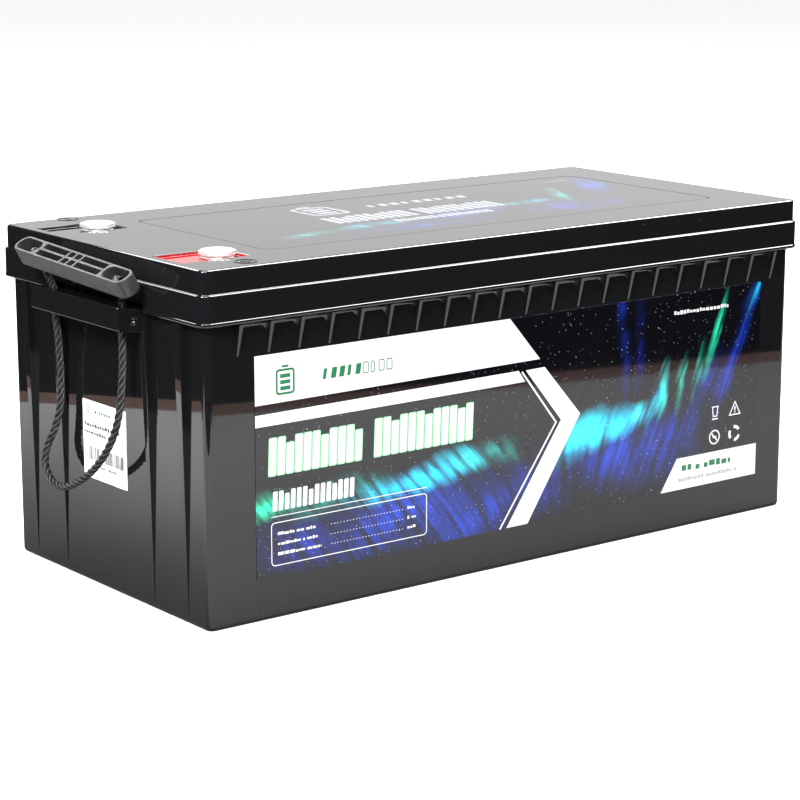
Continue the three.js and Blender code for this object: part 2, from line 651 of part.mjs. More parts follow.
// The grip in its own frame: long way along Y, open side up at z = 0.
function buildGrip() {
  const { length, width, depth, wall, floor, hole } = GRIP;
  const radius = width / 2 - GAP;
  const body = slab(width / 2, length / 2, radius, -depth, 0, 6);
  const inner = width / 2 - wall;
  const tools = [-1, 1].map((end) => {
    const middle = (end * (GRIP_CELL.from + GRIP_CELL.to)) / 2;
    const half = (GRIP_CELL.to - GRIP_CELL.from) / 2;
    return slab(inner, half, inner - ROOT, floor - depth, PAST, 5).translate([0, middle, 0]);
  });
  for (let i = 0; i < GRIP_RIBS.length - 1; i += 1) {
    const y0 = GRIP_RIBS[i] + wall / 2;
    const y1 = GRIP_RIBS[i + 1] - wall / 2;
    tools.push(block(-inner, -wall / 2, y0, y1, floor - depth, PAST));
    tools.push(block(wall / 2, inner, y0, y1, floor - depth, PAST));
  }
  for (const end of [-1, 1]) tools.push(upright(hole, -depth - PAST, 0, 0, end * GRIP_ROPE_HALF, 16));
  return cut(body, tools);
}

// One short stretch of rope, from inside the bar's hole up to the underside of the grip.
function buildLeg(end, pose) {
  const underGrip = (below) =>
    new THREE.Vector3(0, end * GRIP_ROPE_HALF, -GRIP.depth - below).applyMatrix4(pose).toArray();
  const y = end * ROPE_HALF;
  return tube([
    [handleX, y, barUnderside + GAP],
    [handleX, y, barUnderside + 6],
    [handleX, y, BAR_TOP - 4],
    underGrip(2.4),
    underGrip(0.8),
  ], ROPE, ROPE_SIDES, LEG_STEPS);
}

// The end of the rope, doubled back into a knot inside the grip's end cell.
function buildRopeEnd(end) {
  const knot = new THREE.SphereGeometry(KNOT.radius, 10, 6);
  knot.rotateX(Math.PI / 2);
  knot.translate(0, end * (GRIP_ROPE_HALF + KNOT.outward), -GRIP.depth + GRIP.floor + KNOT.lift);
  return solidOf(knot);
}

// One whole handle. The right one is turned half round, so its front end is the turned back end.
function addHandle(name, turn, front) {
  const pose = gripPose(GRIP_PLACE[name]);
  const handle = new THREE.Group();
  handle.rotation.z = turn;
  add(`${name}_rope_loop`, tube(LOOP_ROUTE, ROPE, ROPE_SIDES, LOOP_STEPS), rope, handle);
  add(`${name}_rope_leg_front`, buildLeg(front, pose), rope, handle);
  add(`${name}_rope_leg_back`, buildLeg(-front, pose), rope, handle);
  const held = new THREE.Group();
  held.applyMatrix4(pose);
  add(`${name}_grip`, buildGrip(), greyPlastic, held);
  add(`${name}_rope_end_front`, buildRopeEnd(front), rope, held);
  add(`${name}_rope_end_back`, buildRopeEnd(-front), rope, held);
  handle.add(held);
  battery.add(handle);
}

addHandle('left', 0, -1);
addHandle('right', Math.PI, 1);

export default battery;
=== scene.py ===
"""Looks of a deep cycle battery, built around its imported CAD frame.

Lengths are in millimetres, and pieces are scaled to metres as they are made. +X runs along the long side with
the terminals at the -X end, the labelled front faces -Y, and +Z is up.
"""

import random
from math import cos, pi, radians, sin
from types import SimpleNamespace as Sizes

import bmesh
import bpy
import numpy as np
from mathutils import Matrix, Vector


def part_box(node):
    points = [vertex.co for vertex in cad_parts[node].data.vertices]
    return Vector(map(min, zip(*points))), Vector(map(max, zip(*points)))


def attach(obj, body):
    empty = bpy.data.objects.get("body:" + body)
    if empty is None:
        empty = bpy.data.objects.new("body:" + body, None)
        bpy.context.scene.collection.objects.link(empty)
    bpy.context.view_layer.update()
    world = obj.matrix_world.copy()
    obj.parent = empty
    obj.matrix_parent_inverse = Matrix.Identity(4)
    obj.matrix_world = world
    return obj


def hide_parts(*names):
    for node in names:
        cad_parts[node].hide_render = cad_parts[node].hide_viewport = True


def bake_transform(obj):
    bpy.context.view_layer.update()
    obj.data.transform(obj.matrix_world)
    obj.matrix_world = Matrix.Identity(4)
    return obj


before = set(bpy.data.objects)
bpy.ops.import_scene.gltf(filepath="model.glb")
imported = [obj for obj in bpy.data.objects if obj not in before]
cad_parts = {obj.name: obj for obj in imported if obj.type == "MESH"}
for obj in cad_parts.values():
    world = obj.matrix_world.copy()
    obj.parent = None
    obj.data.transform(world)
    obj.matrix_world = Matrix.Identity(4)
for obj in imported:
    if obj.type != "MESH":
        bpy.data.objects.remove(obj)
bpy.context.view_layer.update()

MM = 0.001
BOTH = (-1, 1)  # the two sides, or ends, of a symmetric thing


def span(node):
    """A CAD node's lowest and highest corners, in millimetres."""
    low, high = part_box(node)
    return low / MM, high / MM


# Driving sizes. The outer ones come from the frame.
LID_LOW, LID_HIGH = span("lid")
HALF_X, HALF_Y, LID_TOP = LID_HIGH
SKIRT_BOTTOM = LID_LOW.z
RIM_TOP = span("case")[1].z
CASE_INSET = 5.5
CASE_X, CASE_Y = HALF_X - CASE_INSET, HALF_Y - CASE_INSET
CASE_CORNER, BASE_FILLET, WALL = 5, 3, 3.5
LEDGE_TOP, LID_INSET, SKIRT_CORNER, SHOULDER = 214.6, 2.3, 8, 213.4
GAP = 0.3

SIDE_FINS = Sizes(count=21, pitch=23.3, shift=2.4, thick=2.8, foot_thick=1.6, foot=173.6, tip=0.05)
END_FINS = Sizes(places=(-95, -55, 55, 95), thick=7.6, foot_thick=1.4, foot=6, tip=0.2)
FIN_REACH, FIN_ROOT, FIN_TOP = CASE_INSET - 0.3, 0.5, SKIRT_BOTTOM - GAP
COVE = Sizes(reach=4.2, corner=0.24, stations=16, steps=5)

BAR = Sizes(half=55.2, reach=16.8, top=200, height=15.3, rise=3.7, x=HALF_X + 5.8)
BAR_UNDERSIDE = BAR.top - BAR.height - BAR.rise / 2
ROPE_HALF, ROPE_HOLE = 42, 8
DIMPLE = Sizes(radius=2.8, deep=2.4)
NOTCH = Sizes(half=57.5, top=201, height=201 - SKIRT_BOTTOM + 10, corner=2.5)

ROPE, STRANDS, LAY = 5.2, 4, 22
GRIP = Sizes(length=132, width=14.6, depth=13, wall=1.7, floor=2, hole=6.4, rope_half=48)
# How each grip rests beyond its bar, given at the -X end: its place, and its roll in degrees
GRIP_PLACE = {"left": ((-276.5, 0.2, 223.6), 3), "right": ((-276.5, 0.2, 223), 0)}
GRIP_TILT, GRIP_YAW = 29.4, 1
GRIP_RIBS = (-38.4, -8, 0, 8, 38.4)
GRIP_CELL = (40, 64)

TERMINAL = Vector((-213.6, 73, 0))
POCKET = Sizes(x=-225.8, half_x=25.2, half_y=17.5, floor=225.2, corner=1.6)
INSERT = Sizes(seat=1.4, floor=2.9, wall=1.2, top=229.7)
POST = Sizes(flange=21.4, neck=14, bore=8.8, top=228.7, bottom=207.5)
HEAD = Sizes(flats=21.4, height=3.2, top=233)
SHANK = Sizes(diameter=8, length=16, pitch=1.25, groove=1.35)
WASHER = Sizes(diameter=19, bore=8.8, bottom=228.9, thick=0.7)

# --- Meshes ---


def as_mesh(shape, name):
    """Turns a bmesh into a mesh, and frees it."""
    mesh = bpy.data.meshes.new(name)
    shape.to_mesh(mesh)
    shape.free()
    return mesh


def in_scene(name, data):
    made = bpy.data.objects.new(name, data)
    bpy.context.scene.collection.objects.link(made)
    return made


def moved(shape, matrix):
    bmesh.ops.transform(shape, matrix=matrix, verts=shape.verts)
    return shape


def piece(name, shape, look, body, replaces=(), smooth=32, weighted=True):
    """Turns a bmesh in millimetres into a finished object that rides on a body of the frame."""
    bmesh.ops.scale(shape, vec=(MM, MM, MM), verts=shape.verts)
    bmesh.ops.recalc_face_normals(shape, faces=shape.faces)
    mesh = as_mesh(shape, name)
    mesh.shade_smooth()
    mesh.set_sharp_from_angle(angle=radians(smooth))
    mesh.materials.append(look)
    made = in_scene(name, mesh)
    if weighted:
        modifier = made.modifiers.new("even_shading", "WEIGHTED_NORMAL")
        modifier.keep_sharp = True
        modifier.weight = 100
    if body:
        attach(made, body)
    if replaces:
        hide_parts(*replaces)
    return made


def joined(shapes):
    """One bmesh that holds all the given ones."""
    whole = bmesh.new()
    for shape in shapes:
        mesh = as_mesh(shape, "part")
        whole.from_mesh(mesh)
        bpy.data.meshes.remove(mesh)
    return whole


def carved(body, cutters):
    """The body less each of the cutters, all of them closed bmeshes."""
    solids = []
    for shape in (body, *cutters):
        bmesh.ops.recalc_face_normals(shape, faces=shape.faces)
        solids.append(in_scene("tool", as_mesh(shape, "tool")))
    target, *tools = solids
    for tool in tools:
        modifier = target.modifiers.new("cut", "BOOLEAN")
        modifier.operation = "DIFFERENCE"
        modifier.solver = "EXACT"
        modifier.object = tool
    bpy.context.view_layer.update()
    mesh = bpy.data.meshes.new_from_object(target.evaluated_get(bpy.context.evaluated_depsgraph_get()))
    result = bmesh.new()
    result.from_mesh(mesh)
    bpy.data.meshes.remove(mesh)
    for solid in solids:
        data = solid.data
        bpy.data.objects.remove(solid)
        bpy.data.meshes.remove(data)
    bmesh.ops.remove_doubles(result, verts=result.verts, dist=0.002)
    return result


def skin(rings, closed=False, capped=True):
    """A surface over rings of points, where a ring of one point is a pole.

    A closed one joins its last ring to its first. Otherwise the end rings are capped, unless capped is false.
    """
    shape = bmesh.new()
    rows = [[shape.verts.new(point) for point in ring] for ring in rings]
    around = max(len(row) for row in rows)
    for low, high in zip(rows, rows[1:] + rows[:1] if closed else rows[1:]):
        for i in range(around):
            j = (i + 1) % around
            corners = low[i % len(low)], low[j % len(low)], high[j % len(high)], high[i % len(high)]
            shape.faces.new(list(dict.fromkeys(corners)))
    if capped and not closed:
        for row in (rows[0][::-1], rows[-1]):
            if len(row) > 1:
                shape.faces.new(row)
    bmesh.ops.recalc_face_normals(shape, faces=shape.faces)
    return shape


def ring_about(place, z, radii, turn=0.0):
    """Points spaced evenly round a vertical axis, one for each radius."""
    ring = []
    for i, radius in enumerate(radii):
        angle = 2 * pi * i / len(radii) + turn
        ring.append((place[0] + radius * cos(angle), place[1] + radius * sin(angle), z))
    return ring


def turned(profile, place, sides=48):
    """A lathe body about a vertical axis. Its (radius, height) pairs go from axis to axis or round a loop."""
    rings = [ring_about(place, z, [radius] * (sides if radius else 1)) for radius, z in profile]
    return skin(rings, closed=len(rings[0]) > 1)


def rod(place, low, high, radius, sides):
    return turned([(0, low), (radius, low), (radius, high), (0, high)], place, sides)


def rounded_ring(half_x, half_y, radius, z, centre, steps):
    """A rectangle with round corners, as a ring of points at height z."""
    ring = []
    for side_x, side_y, start in ((1, -1, -90), (1, 1, 0), (-1, 1, 90), (-1, -1, 180)):
        for i in range(steps + 1):
            angle = radians(start + 90 * i / steps)
            x = centre[0] + side_x * (half_x - radius) + radius * cos(angle)
            y = centre[1] + side_y * (half_y - radius) + radius * sin(angle)
            ring.append((x, y, z))
    return ring


def rounded_body(half_x, half_y, corner, profile, centre=(0, 0), steps=6):
    """A skin over rounded rectangles. The profile lists (inset, height) pairs."""
    least_corner = 0.3
    return skin([
        rounded_ring(half_x - inset, half_y - inset, max(corner - inset, least_corner), z, centre, steps)
        for inset, z in profile
    ])


def arc(centre, radius, start, end, steps):
    """Profile points round a fillet. Angles are in degrees, in the plane of inset and height."""
    angles = [radians(start + (end - start) * i / steps) for i in range(steps + 1)]
    return [(centre[0] + radius * cos(a), centre[1] + radius * sin(a)) for a in angles]


def bevelled(shape, width, segments=2, sharper_than=30):
    """Rounds every edge of the bmesh that turns by more than that many degrees."""
    edges = [e for e in shape.edges if e.is_manifold and e.calc_face_angle(0) > radians(sharper_than)]
    bmesh.ops.bevel(shape, geom=edges, offset=width, segments=segments, profile=0.6, affect="EDGES",
                    clamp_overlap=True)
    return shape


# --- Camera ---

CAMERA = Sizes(place=(-1055.85, -1353.92, 476.58), azimuth=37.624, elevation=-12.566, lens=110.6, sensor=36)


def aim(item, place, forward):
    item.location = Vector(place) * MM
    item.rotation_mode = "QUATERNION"
    item.rotation_quaternion = forward.to_track_quat("-Z", "Y")


def make_camera():
    data = bpy.data.cameras.new("camera")
    data.sensor_width, data.lens = CAMERA.sensor, CAMERA.lens
    data.clip_start, data.clip_end = 0.05, 60
    camera = in_scene("camera", data)
    azimuth, elevation = radians(CAMERA.azimuth), radians(CAMERA.elevation)
    level = cos(elevation)
    aim(camera, CAMERA.place,
        Vector((sin(azimuth) * level, cos(azimuth) * level, sin(elevation))))
    bpy.context.scene.camera = camera


make_camera()

# --- Materials ---


class Look:
    """A material with one Principled shader, and short ways to add nodes to it."""

    def __init__(self, name, color, roughness, metallic=0.0, ior=1.5, specular=0.5):
        self.material = bpy.data.materials.new(name)
        self.material.use_nodes = True
        self.material.diffuse_color = (*color, 1)
        self.tree = self.material.node_tree
        self.shader = self.tree.nodes["Principled BSDF"]
        for key, value in (("Base Color", (*color, 1)), ("Roughness", roughness), ("Metallic", metallic),
                           ("IOR", ior), ("Specular IOR Level", specular)):
            self.feed(key, value)

    def connect(self, value, socket):
        if isinstance(value, bpy.types.NodeSocket):
            self.tree.links.new(value, socket)
        else:
            socket.default_value = value

    def feed(self, key, value):
        self.connect(value, self.shader.inputs[key])

    def node(self, kind, settings=None, output=0, **inputs):
        made = self.tree.nodes.new("ShaderNode" + kind)
        for key, value in (settings or {}).items():
            setattr(made, key, value)
        for key, value in inputs.items():
            self.connect(value, made.inputs[key.replace("_", " ")])
        return made.outputs[output]

    def sum(self, operation, *values, kind="Math"):
        """A math node, which takes its values in order."""
        result = self.node(kind, {"operation": operation})
        for socket, value in zip(result.node.inputs, values):
            self.connect(value, socket)
        return result

    def mix(self, factor, a, b, blend="MIX"):
        made = self.node("Mix", {"data_type": "RGBA", "blend_type": blend}).node
        color_a, color_b, color_out = 6, 7, 2
        for index, value in ((0, factor), (color_a, a), (color_b, b)):
            as_color = isinstance(value, tuple) and len(value) == 3
            self.connect((*value, 1) if as_color else value, made.inputs[index])
        return made.outputs[color_out]

    def ramp(self, value, low, high, to_low=0.0, to_high=1.0):
        return self.node("MapRange", {"interpolation_type": "SMOOTHSTEP"}, Value=value, From_Min=low,
                         From_Max=high, To_Min=to_low, To_Max=to_high)

    def tone(self, pattern, low, high, first, second):
        """Colours the surface from first to second as the pattern goes from low to high."""
        self.feed("Base Color", self.mix(self.ramp(pattern, low, high), first, second))

    def gloss(self, pattern, low, high, first, second):
        """Does the same with the roughness."""
        self.feed("Roughness", self.ramp(pattern, low, high, first, second))

    def place(self, stretch=(1, 1, 1)):
        """Object coordinates in metres, stretched along each axis."""
        return self.node("Mapping", Vector=self.node("TexCoord", output="Object"), Scale=stretch)

    def noise(self, scale, detail, where=None, distortion=0.0):
        where = where or self.place()
        return self.node("TexNoise", Vector=where, Scale=scale, Detail=detail, Distortion=distortion)

    def bump(self, height, depth_mm, under=None):
        """Relief whose full height is depth_mm, on top of any relief under it."""
        below = {"Normal": under} if under else {}
        relief = self.node("Bump", Height=height, Strength=1.0, Distance=depth_mm * MM, **below)
        self.feed("Normal", relief)
        return relief

    def specks(self, per_metre, size, share, where=None):
        """1 on small round spots, 0 elsewhere. Size is part of a cell, and share is how many have one."""
        cell = self.node("TexVoronoi", Vector=where or self.place(), Scale=per_metre).node
        spot = self.ramp(cell.outputs["Distance"], size, size * 0.5)
        draw = self.node("SeparateColor", Color=cell.outputs["Color"])
        return self.sum("MULTIPLY", spot, self.ramp(draw, 1 - share, 1 - share + 0.01))


def shade(color, factor, lift=0.0):
    return tuple(c * factor + lift for c in color)


def moulded_plastic(name, color, roughness, wave=0.02, dust=0.35):
    """Glossy moulded plastic: slow waves in the surface, faint haze, and a little dust."""
    look = Look(name, color, roughness, ior=1.56)
    haze = look.ramp(look.noise(34, 4), 0.35, 0.75, roughness, roughness * 1.7)
    look.feed("Roughness", look.sum("ADD", haze, look.ramp(look.noise(420, 3), 0.5, 0.9, 0.0, 0.03)))
    dusty = look.sum("MAXIMUM", look.specks(150, 0.06, 0.12), look.specks(420, 0.07, 0.05))
    look.feed("Base Color", look.mix(look.sum("MULTIPLY", dusty, dust), color, shade(color, 1, 0.3)))
    look.bump(look.noise(22, 1), wave)
    return look.material


def satin_plastic():
    """The grip: grey glass-filled plastic with a mottled satin skin."""
    look = Look("satin_plastic", (0.025, 0.026, 0.028), 0.42, ior=1.45, specular=0.3)
    mottle = look.noise(160, 5)
    look.tone(mottle, 0.3, 0.75, (0.018, 0.019, 0.021), (0.034, 0.035, 0.037))
    look.gloss(look.noise(700, 4), 0.3, 0.7, 0.32, 0.5)
    look.bump(look.noise(2400, 3), 0.02, look.bump(mottle, 0.06))
    return look.material


def nickel_plate():
    """Bright nickel with fine turning marks and small blemishes."""
    look = Look("nickel_plate", (0.86, 0.85, 0.83), 0.2, metallic=0.6)
    brushed = look.noise(90, 4, look.place((1, 14, 14)))
    look.gloss(brushed, 0.3, 0.7, 0.2, 0.36)
    look.tone(look.noise(500, 4), 0.55, 0.8, (0.88, 0.87, 0.85), (0.7, 0.68, 0.64))
    look.bump(brushed, 0.0008)
    return look.material


def rolled_metal(name, color, roughness):
    """Rolled or punched sheet metal with long fine lines."""
    look = Look(name, color, roughness, metallic=1)
    lines = look.noise(60, 5, look.place((1, 40, 40)))
    look.tone(lines, 0.3, 0.7, color, shade(color, 0.75))
    look.gloss(look.noise(300, 4), 0.3, 0.7, roughness * 0.8, roughness * 1.3)
    look.bump(lines, 0.01)
    return look.material


def rubbery(name, color, roughness):
    """Moulded rubber or a cable jacket with a fine dull grain."""
    look = Look(name, color, roughness)
    look.tone(look.noise(60, 4), 0.4, 0.7, color, shade(color, 1.5, 0.01))
    look.bump(look.noise(1500, 4), 0.03)
    return look.material


def foamed(name, color):
    """Closed-cell foam: a skin of small round cells."""
    look = Look(name, color, 0.95)
    cell = look.node("TexVoronoi", Vector=look.place(), Scale=700.0)
    look.tone(cell, 0.1, 0.6, shade(color, 0.5), color)
    look.bump(cell, 0.25)
    return look.material


def shrink_film():
    """Blue heat-shrink film, drawn tight with faint wrinkles."""
    look = Look("shrink_film", (0.02, 0.11, 0.42), 0.3)
    wrinkle = look.noise(28, 4, look.place((1, 1, 0.25)), distortion=0.6)
    look.tone(wrinkle, 0.3, 0.7, (0.015, 0.09, 0.36), (0.03, 0.15, 0.5))
    look.bump(wrinkle, 0.3)
    return look.material


def circuit_board():
    """Green solder mask over copper tracks."""
    look = Look("circuit_board", (0.01, 0.12, 0.045), 0.35)
    across = look.place((0, 1, 1))
    tracks = look.node("TexBrick", {"offset": 0.37, "squash": 0.6}, output="Fac", Vector=across, Scale=45.0,
                       Mortar_Size=0.035)
    look.feed("Base Color", look.mix(tracks, (0.008, 0.1, 0.035), (0.03, 0.2, 0.08)))
    look.bump(tracks, 0.05)
    return look.material


def woven_sheet(name, color, per_metre):
    """A woven surface: glass-fibre board or polyester strapping."""
    look = Look(name, color, 0.5)
    across, up = (
        look.node("SeparateColor", Color=look.node("TexWave", {"bands_direction": axis}, Vector=look.place(),
                                                   Scale=per_metre, Distortion=0.4))
        for axis in "YZ"
    )
    weave = look.sum("MULTIPLY", across, up)
    look.feed("Base Color", look.mix(weave, shade(color, 0.7), color))
    look.bump(weave, 0.06)
    return look.material


def laid_rope():
    """Black rope with painted highlights, a lighter colour on each strand's crown. Its UV map is made by
    rope_skin.
    """
    look = Look("laid_rope", (0.005, 0.005, 0.006), 0.3)
    spot = look.node("UVMap")
    strand = look.sum("FRACT", look.node("SeparateXYZ", Vector=spot))
    crown = look.sum("ABSOLUTE", look.sum("SUBTRACT", look.sum("MULTIPLY", strand, 2.0), 1.0))
    waves = look.node("TexWave", {"bands_direction": "X"}, Scale=1.0, Distortion=1.6, Detail=3.0,
                      Detail_Scale=2.5, Vector=look.node("Mapping", Vector=spot, Scale=(3, 0.9, 1)))
    yarn = look.node("SeparateColor", Color=waves)
    fuzz = look.noise(2600, 4)
    # Painted highlight: each strand's crown is coloured light grey in place of glints, brighter where the
    # yarn pattern is high.
    lit = look.sum("MULTIPLY", look.ramp(crown, 0.6, 0.97), look.ramp(yarn, 0.1, 0.8, 0.3, 1.0))
    painted_glint = look.mix(look.ramp(fuzz, 0.4, 0.75), (0.06, 0.06, 0.062), (0.26, 0.26, 0.265))
    look.feed("Base Color", look.mix(lit, (0.0015, 0.0015, 0.002), painted_glint))
    look.gloss(fuzz, 0.3, 0.7, 0.2, 0.34)
    look.bump(fuzz, 0.05, look.bump(yarn, 0.12))
    return look.material


def print_ink(name, color, roughness):
    """A flat printed colour with the faint unevenness of ink under film."""
    look = Look(name, color, roughness)
    look.tone(look.noise(55, 4), 0.35, 0.7, color, shade(color, 0.94))
    look.gloss(look.noise(600, 3), 0.3, 0.8, roughness * 0.8, roughness * 1.3)
    look.bump(look.noise(150, 2), 0.008)
    return look.material


def paper():
    look = Look("paper", (0.86, 0.86, 0.85), 0.6)
    fibre = look.noise(900, 5, look.place((1, 0.5, 1)))
    look.tone(fibre, 0.3, 0.75, (0.84, 0.84, 0.83), (0.9, 0.9, 0.895))
    look.bump(fibre, 0.01)
    return look.material


def night_sky(name, lights, up, stars):
    """Printed film with a starry sky and soft bands of light.

    Lights are (x, y, length, width, turn, colour, strength) in the label's plane, which lies along X and the
    axis given as up. Their rays lean right at the left end, and left at the right end.
    """
    look = Look(name, (0.01, 0.01, 0.012), 0.045, ior=1.56)
    place = look.node("TexCoord", output="Object")
    flat, rise = (look.node("SeparateXYZ", output=axis, Vector=place) for axis in (0, up))
    spot = look.node("CombineXYZ", X=flat, Y=rise, Z=0.0)
    lean = look.sum("MULTIPLY", rise, look.ramp(flat, -0.12, 0.16, 0.75, -0.45))
    rays = look.node("CombineXYZ", X=look.sum("ADD", flat, lean), Y=rise, Z=0.0)
    streaks = look.noise(1.0, 4, look.node("Mapping", Vector=rays, Scale=(190, 16, 1)))
    patches = look.ramp(look.noise(26, 3, spot), 0.36, 0.62, 0.35, 1.15)
    broken = look.sum("MULTIPLY", look.ramp(streaks, 0.32, 0.66, 0.15, 1.35), patches)
    cloud = look.node("TexNoise", output="Color", Vector=spot, Scale=28.0)
    off_centre = look.sum("SUBTRACT", cloud, (0.5, 0.5, 0.5), kind="VectorMath")
    drift = look.node("VectorMath", {"operation": "SCALE"}, Scale=0.016, Vector=off_centre)
    drifted = look.sum("ADD", spot, drift, kind="VectorMath")
    glow = (0.002, 0.002, 0.003, 1)
    for x, y, length, width, turn, color, strength in lights:
        inside = look.node("Mapping", {"vector_type": "TEXTURE"}, Vector=drifted,
                           Location=(x * MM, y * MM, 0), Rotation=(0, 0, radians(turn)),
                           Scale=(length * MM, width * MM, 1))
        ball = look.node("TexGradient", {"gradient_type": "SPHERICAL"}, output=1, Vector=inside)
        soft = look.sum("MULTIPLY", look.sum("POWER", ball, 1.6), broken)
        glow = look.mix(look.sum("MULTIPLY", soft, 0.72 * strength), glow, color, "ADD")
    glow = look.mix(look.sum("MULTIPLY", look.specks(900, 0.35, 0.5, spot), 0.45), glow, (0.0, 0.0, 0.01))
    bright = look.sum("MAXIMUM", look.specks(230, 0.08, 0.3, spot), look.specks(520, 0.12, 0.35, spot))
    look.feed("Base Color", look.mix(look.sum("MULTIPLY", bright, stars), glow, (0.75, 0.8, 0.95)))
    look.bump(look.noise(130, 2), 0.006)
    return look.material


NIGHT_BLUE, DEEP_BLUE = (0.008, 0.045, 0.5), (0.006, 0.014, 0.19)
CYAN, SEA_GREEN = (0.01, 0.62, 0.95), (0.02, 0.62, 0.36)
FRONT_LIGHTS = (
    (-216, 74, 42, 13, 6, SEA_GREEN, 1.5),
    (-150, 74, 52, 15, 4, (0.03, 0.5, 0.42), 1.0),
    (-118, 72, 40, 11, 8, CYAN, 1.0),
    (-72, 77, 46, 15, 10, CYAN, 2.2),
    (-48, 82, 40, 12, -6, (0.04, 0.7, 0.75), 1.2),
    (-18, 82, 24, 12, -18, (0.02, 0.5, 0.42), 0.9),
    (-100, 52, 120, 32, 4, NIGHT_BLUE, 1.0),
    (-40, 42, 70, 30, 10, NIGHT_BLUE, 0.9),
    (-190, 48, 60, 22, 0, DEEP_BLUE, 1.2),
    (40, 76, 26, 17, 20, CYAN, 1.7),
    (62, 86, 32, 18, 8, (0.02, 0.75, 0.95), 2.2),
    (88, 86, 32, 15, 4, CYAN, 2.4),
    (108, 88, 22, 13, 20, (0.05, 0.75, 0.95), 1.6),
    (120, 93, 24, 6, 68, CYAN, 1.4),
    (131, 103, 27, 6, 78, (0.03, 0.75, 0.7), 1.6),
    (147, 107, 26, 5.5, 76, (0.02, 0.68, 0.5), 1.4),
    (165, 113, 27, 5.5, 74, (0.02, 0.6, 0.42), 1.4),
    (182, 138, 46, 5, 71, SEA_GREEN, 1.3),
    (92, 142, 52, 8, 92, NIGHT_BLUE, 1.3),
    (108, 146, 46, 8, 86, DEEP_BLUE, 2.0),
    (205, 132, 74, 9, 66, NIGHT_BLUE, 1.6),
    (221, 166, 26, 5, 66, (0.02, 0.5, 0.85), 1.0),
    (104, 64, 74, 34, 0, NIGHT_BLUE, 1.3),
    (30, 60, 60, 34, 20, DEEP_BLUE, 1.6),
    (160, 92, 60, 20, 40, DEEP_BLUE, 1.5),
)
TOP_LIGHTS = (
    (-112, -40, 44, 9, 12, (0.02, 0.45, 0.4), 0.7),
    (-60, -33, 50, 13, 10, (0.02, 0.4, 0.6), 0.7),
    (20, -30, 60, 16, 10, NIGHT_BLUE, 0.8),
    (90, -12, 46, 12, 8, (0.02, 0.42, 0.62), 0.7),
    (140, 4, 50, 9, 60, (0.02, 0.45, 0.4), 0.6),
    (190, 24, 60, 16, 60, NIGHT_BLUE, 0.9),
    (120, -44, 70, 26, 4, DEEP_BLUE, 1.4),
    (-30, -56, 90, 18, 0, DEEP_BLUE, 1.2),
)

BLACK = (0.0045, 0.0047, 0.0054)
BLACK_PLASTIC = moulded_plastic("black_plastic", BLACK, 0.02)
LID_PLASTIC = moulded_plastic("lid_plastic", BLACK, 0.03, wave=0.012)
RED_PLASTIC = moulded_plastic("red_plastic", (0.22, 0.005, 0.007), 0.05, wave=0.01, dust=0.1)
GREY_PLASTIC = satin_plastic()
# Painted shade: a near-black, dull material for the walls of the grip's cells.
CELL_SHADE_PLASTIC = rubbery("painted_shade_plastic", (0.0025, 0.0025, 0.003), 0.9)
NICKEL = nickel_plate()
ALUMINIUM = rolled_metal("aluminium", (0.8, 0.81, 0.82), 0.35)
COPPER = rolled_metal("copper", (0.85, 0.42, 0.26), 0.32)
SHRINK_FILM = shrink_film()
FOAM = foamed("foam", (0.035, 0.035, 0.038))
RUBBER = rubbery("rubber", (0.012, 0.012, 0.013), 0.85)
CIRCUIT_BOARD = circuit_board()
GLASS_BOARD = woven_sheet("glass_board", (0.55, 0.47, 0.16), 700)
STRAPPING = woven_sheet("strapping", (0.03, 0.19, 0.05), 900)
RED_JACKET = rubbery("red_jacket", (0.45, 0.012, 0.01), 0.5)
BLACK_JACKET = rubbery("black_jacket", (0.012, 0.012, 0.012), 0.5)
ROPE_YARN = laid_rope()
FRONT_FILM = night_sky("front_film", FRONT_LIGHTS, 2, 0.75)
TOP_FILM = night_sky("top_film", TOP_LIGHTS, 1, 0.2)
STICKER_PAPER = paper()
WHITE_INK = print_ink("white_ink", (0.58, 0.58, 0.58), 0.16)
FADED_INK = print_ink("faded_ink", (0.2, 0.21, 0.23), 0.12)
GREEN_INK = print_ink("green_ink", (0.012, 0.13, 0.055), 0.2)
PALE_GREEN_INK = print_ink("pale_green_ink", (0.25, 0.62, 0.32), 0.2)
GREY_INK = print_ink("grey_ink", (0.3, 0.3, 0.3), 0.4)
DARK_INK = print_ink("dark_ink", (0.012, 0.012, 0.014), 0.4)
BORDER_INK = rubbery("border_ink", (0.001, 0.001, 0.001), 0.9)

# --- Case ---


def case_shell():
    rim_inset, rim_height = 2.1, 8.6
    return rounded_body(CASE_X, CASE_Y, CASE_CORNER, [
        *arc((BASE_FILLET, BASE_FILLET), BASE_FILLET, 270, 180, 5),
        (0, RIM_TOP - rim_height - 0.4), (-rim_inset, RIM_TOP - rim_height), (-rim_inset, RIM_TOP),
        (WALL, RIM_TOP), (WALL, WALL),
    ])


def fin(place, along, out, sizes):
    """A wedge on a wall: full size under the skirt, and running out to nothing at its foot.

    place is the wedge's middle on the wall's face, and along and out are unit vectors in plan.
    """
    place, along, out = Vector(place), Vector(along), Vector(out)
    rings = []
    for z, width, reach in ((sizes.foot, sizes.foot_thick, sizes.tip), (FIN_TOP, sizes.thick, FIN_REACH)):
        corners = (-1, -FIN_ROOT), (1, -FIN_ROOT), (1, reach), (-1, reach)
        rings.append([(*(place + along * (side * width / 2) + out * depth), z) for side, depth in corners])
    return bevelled(skin(rings), 0.4)


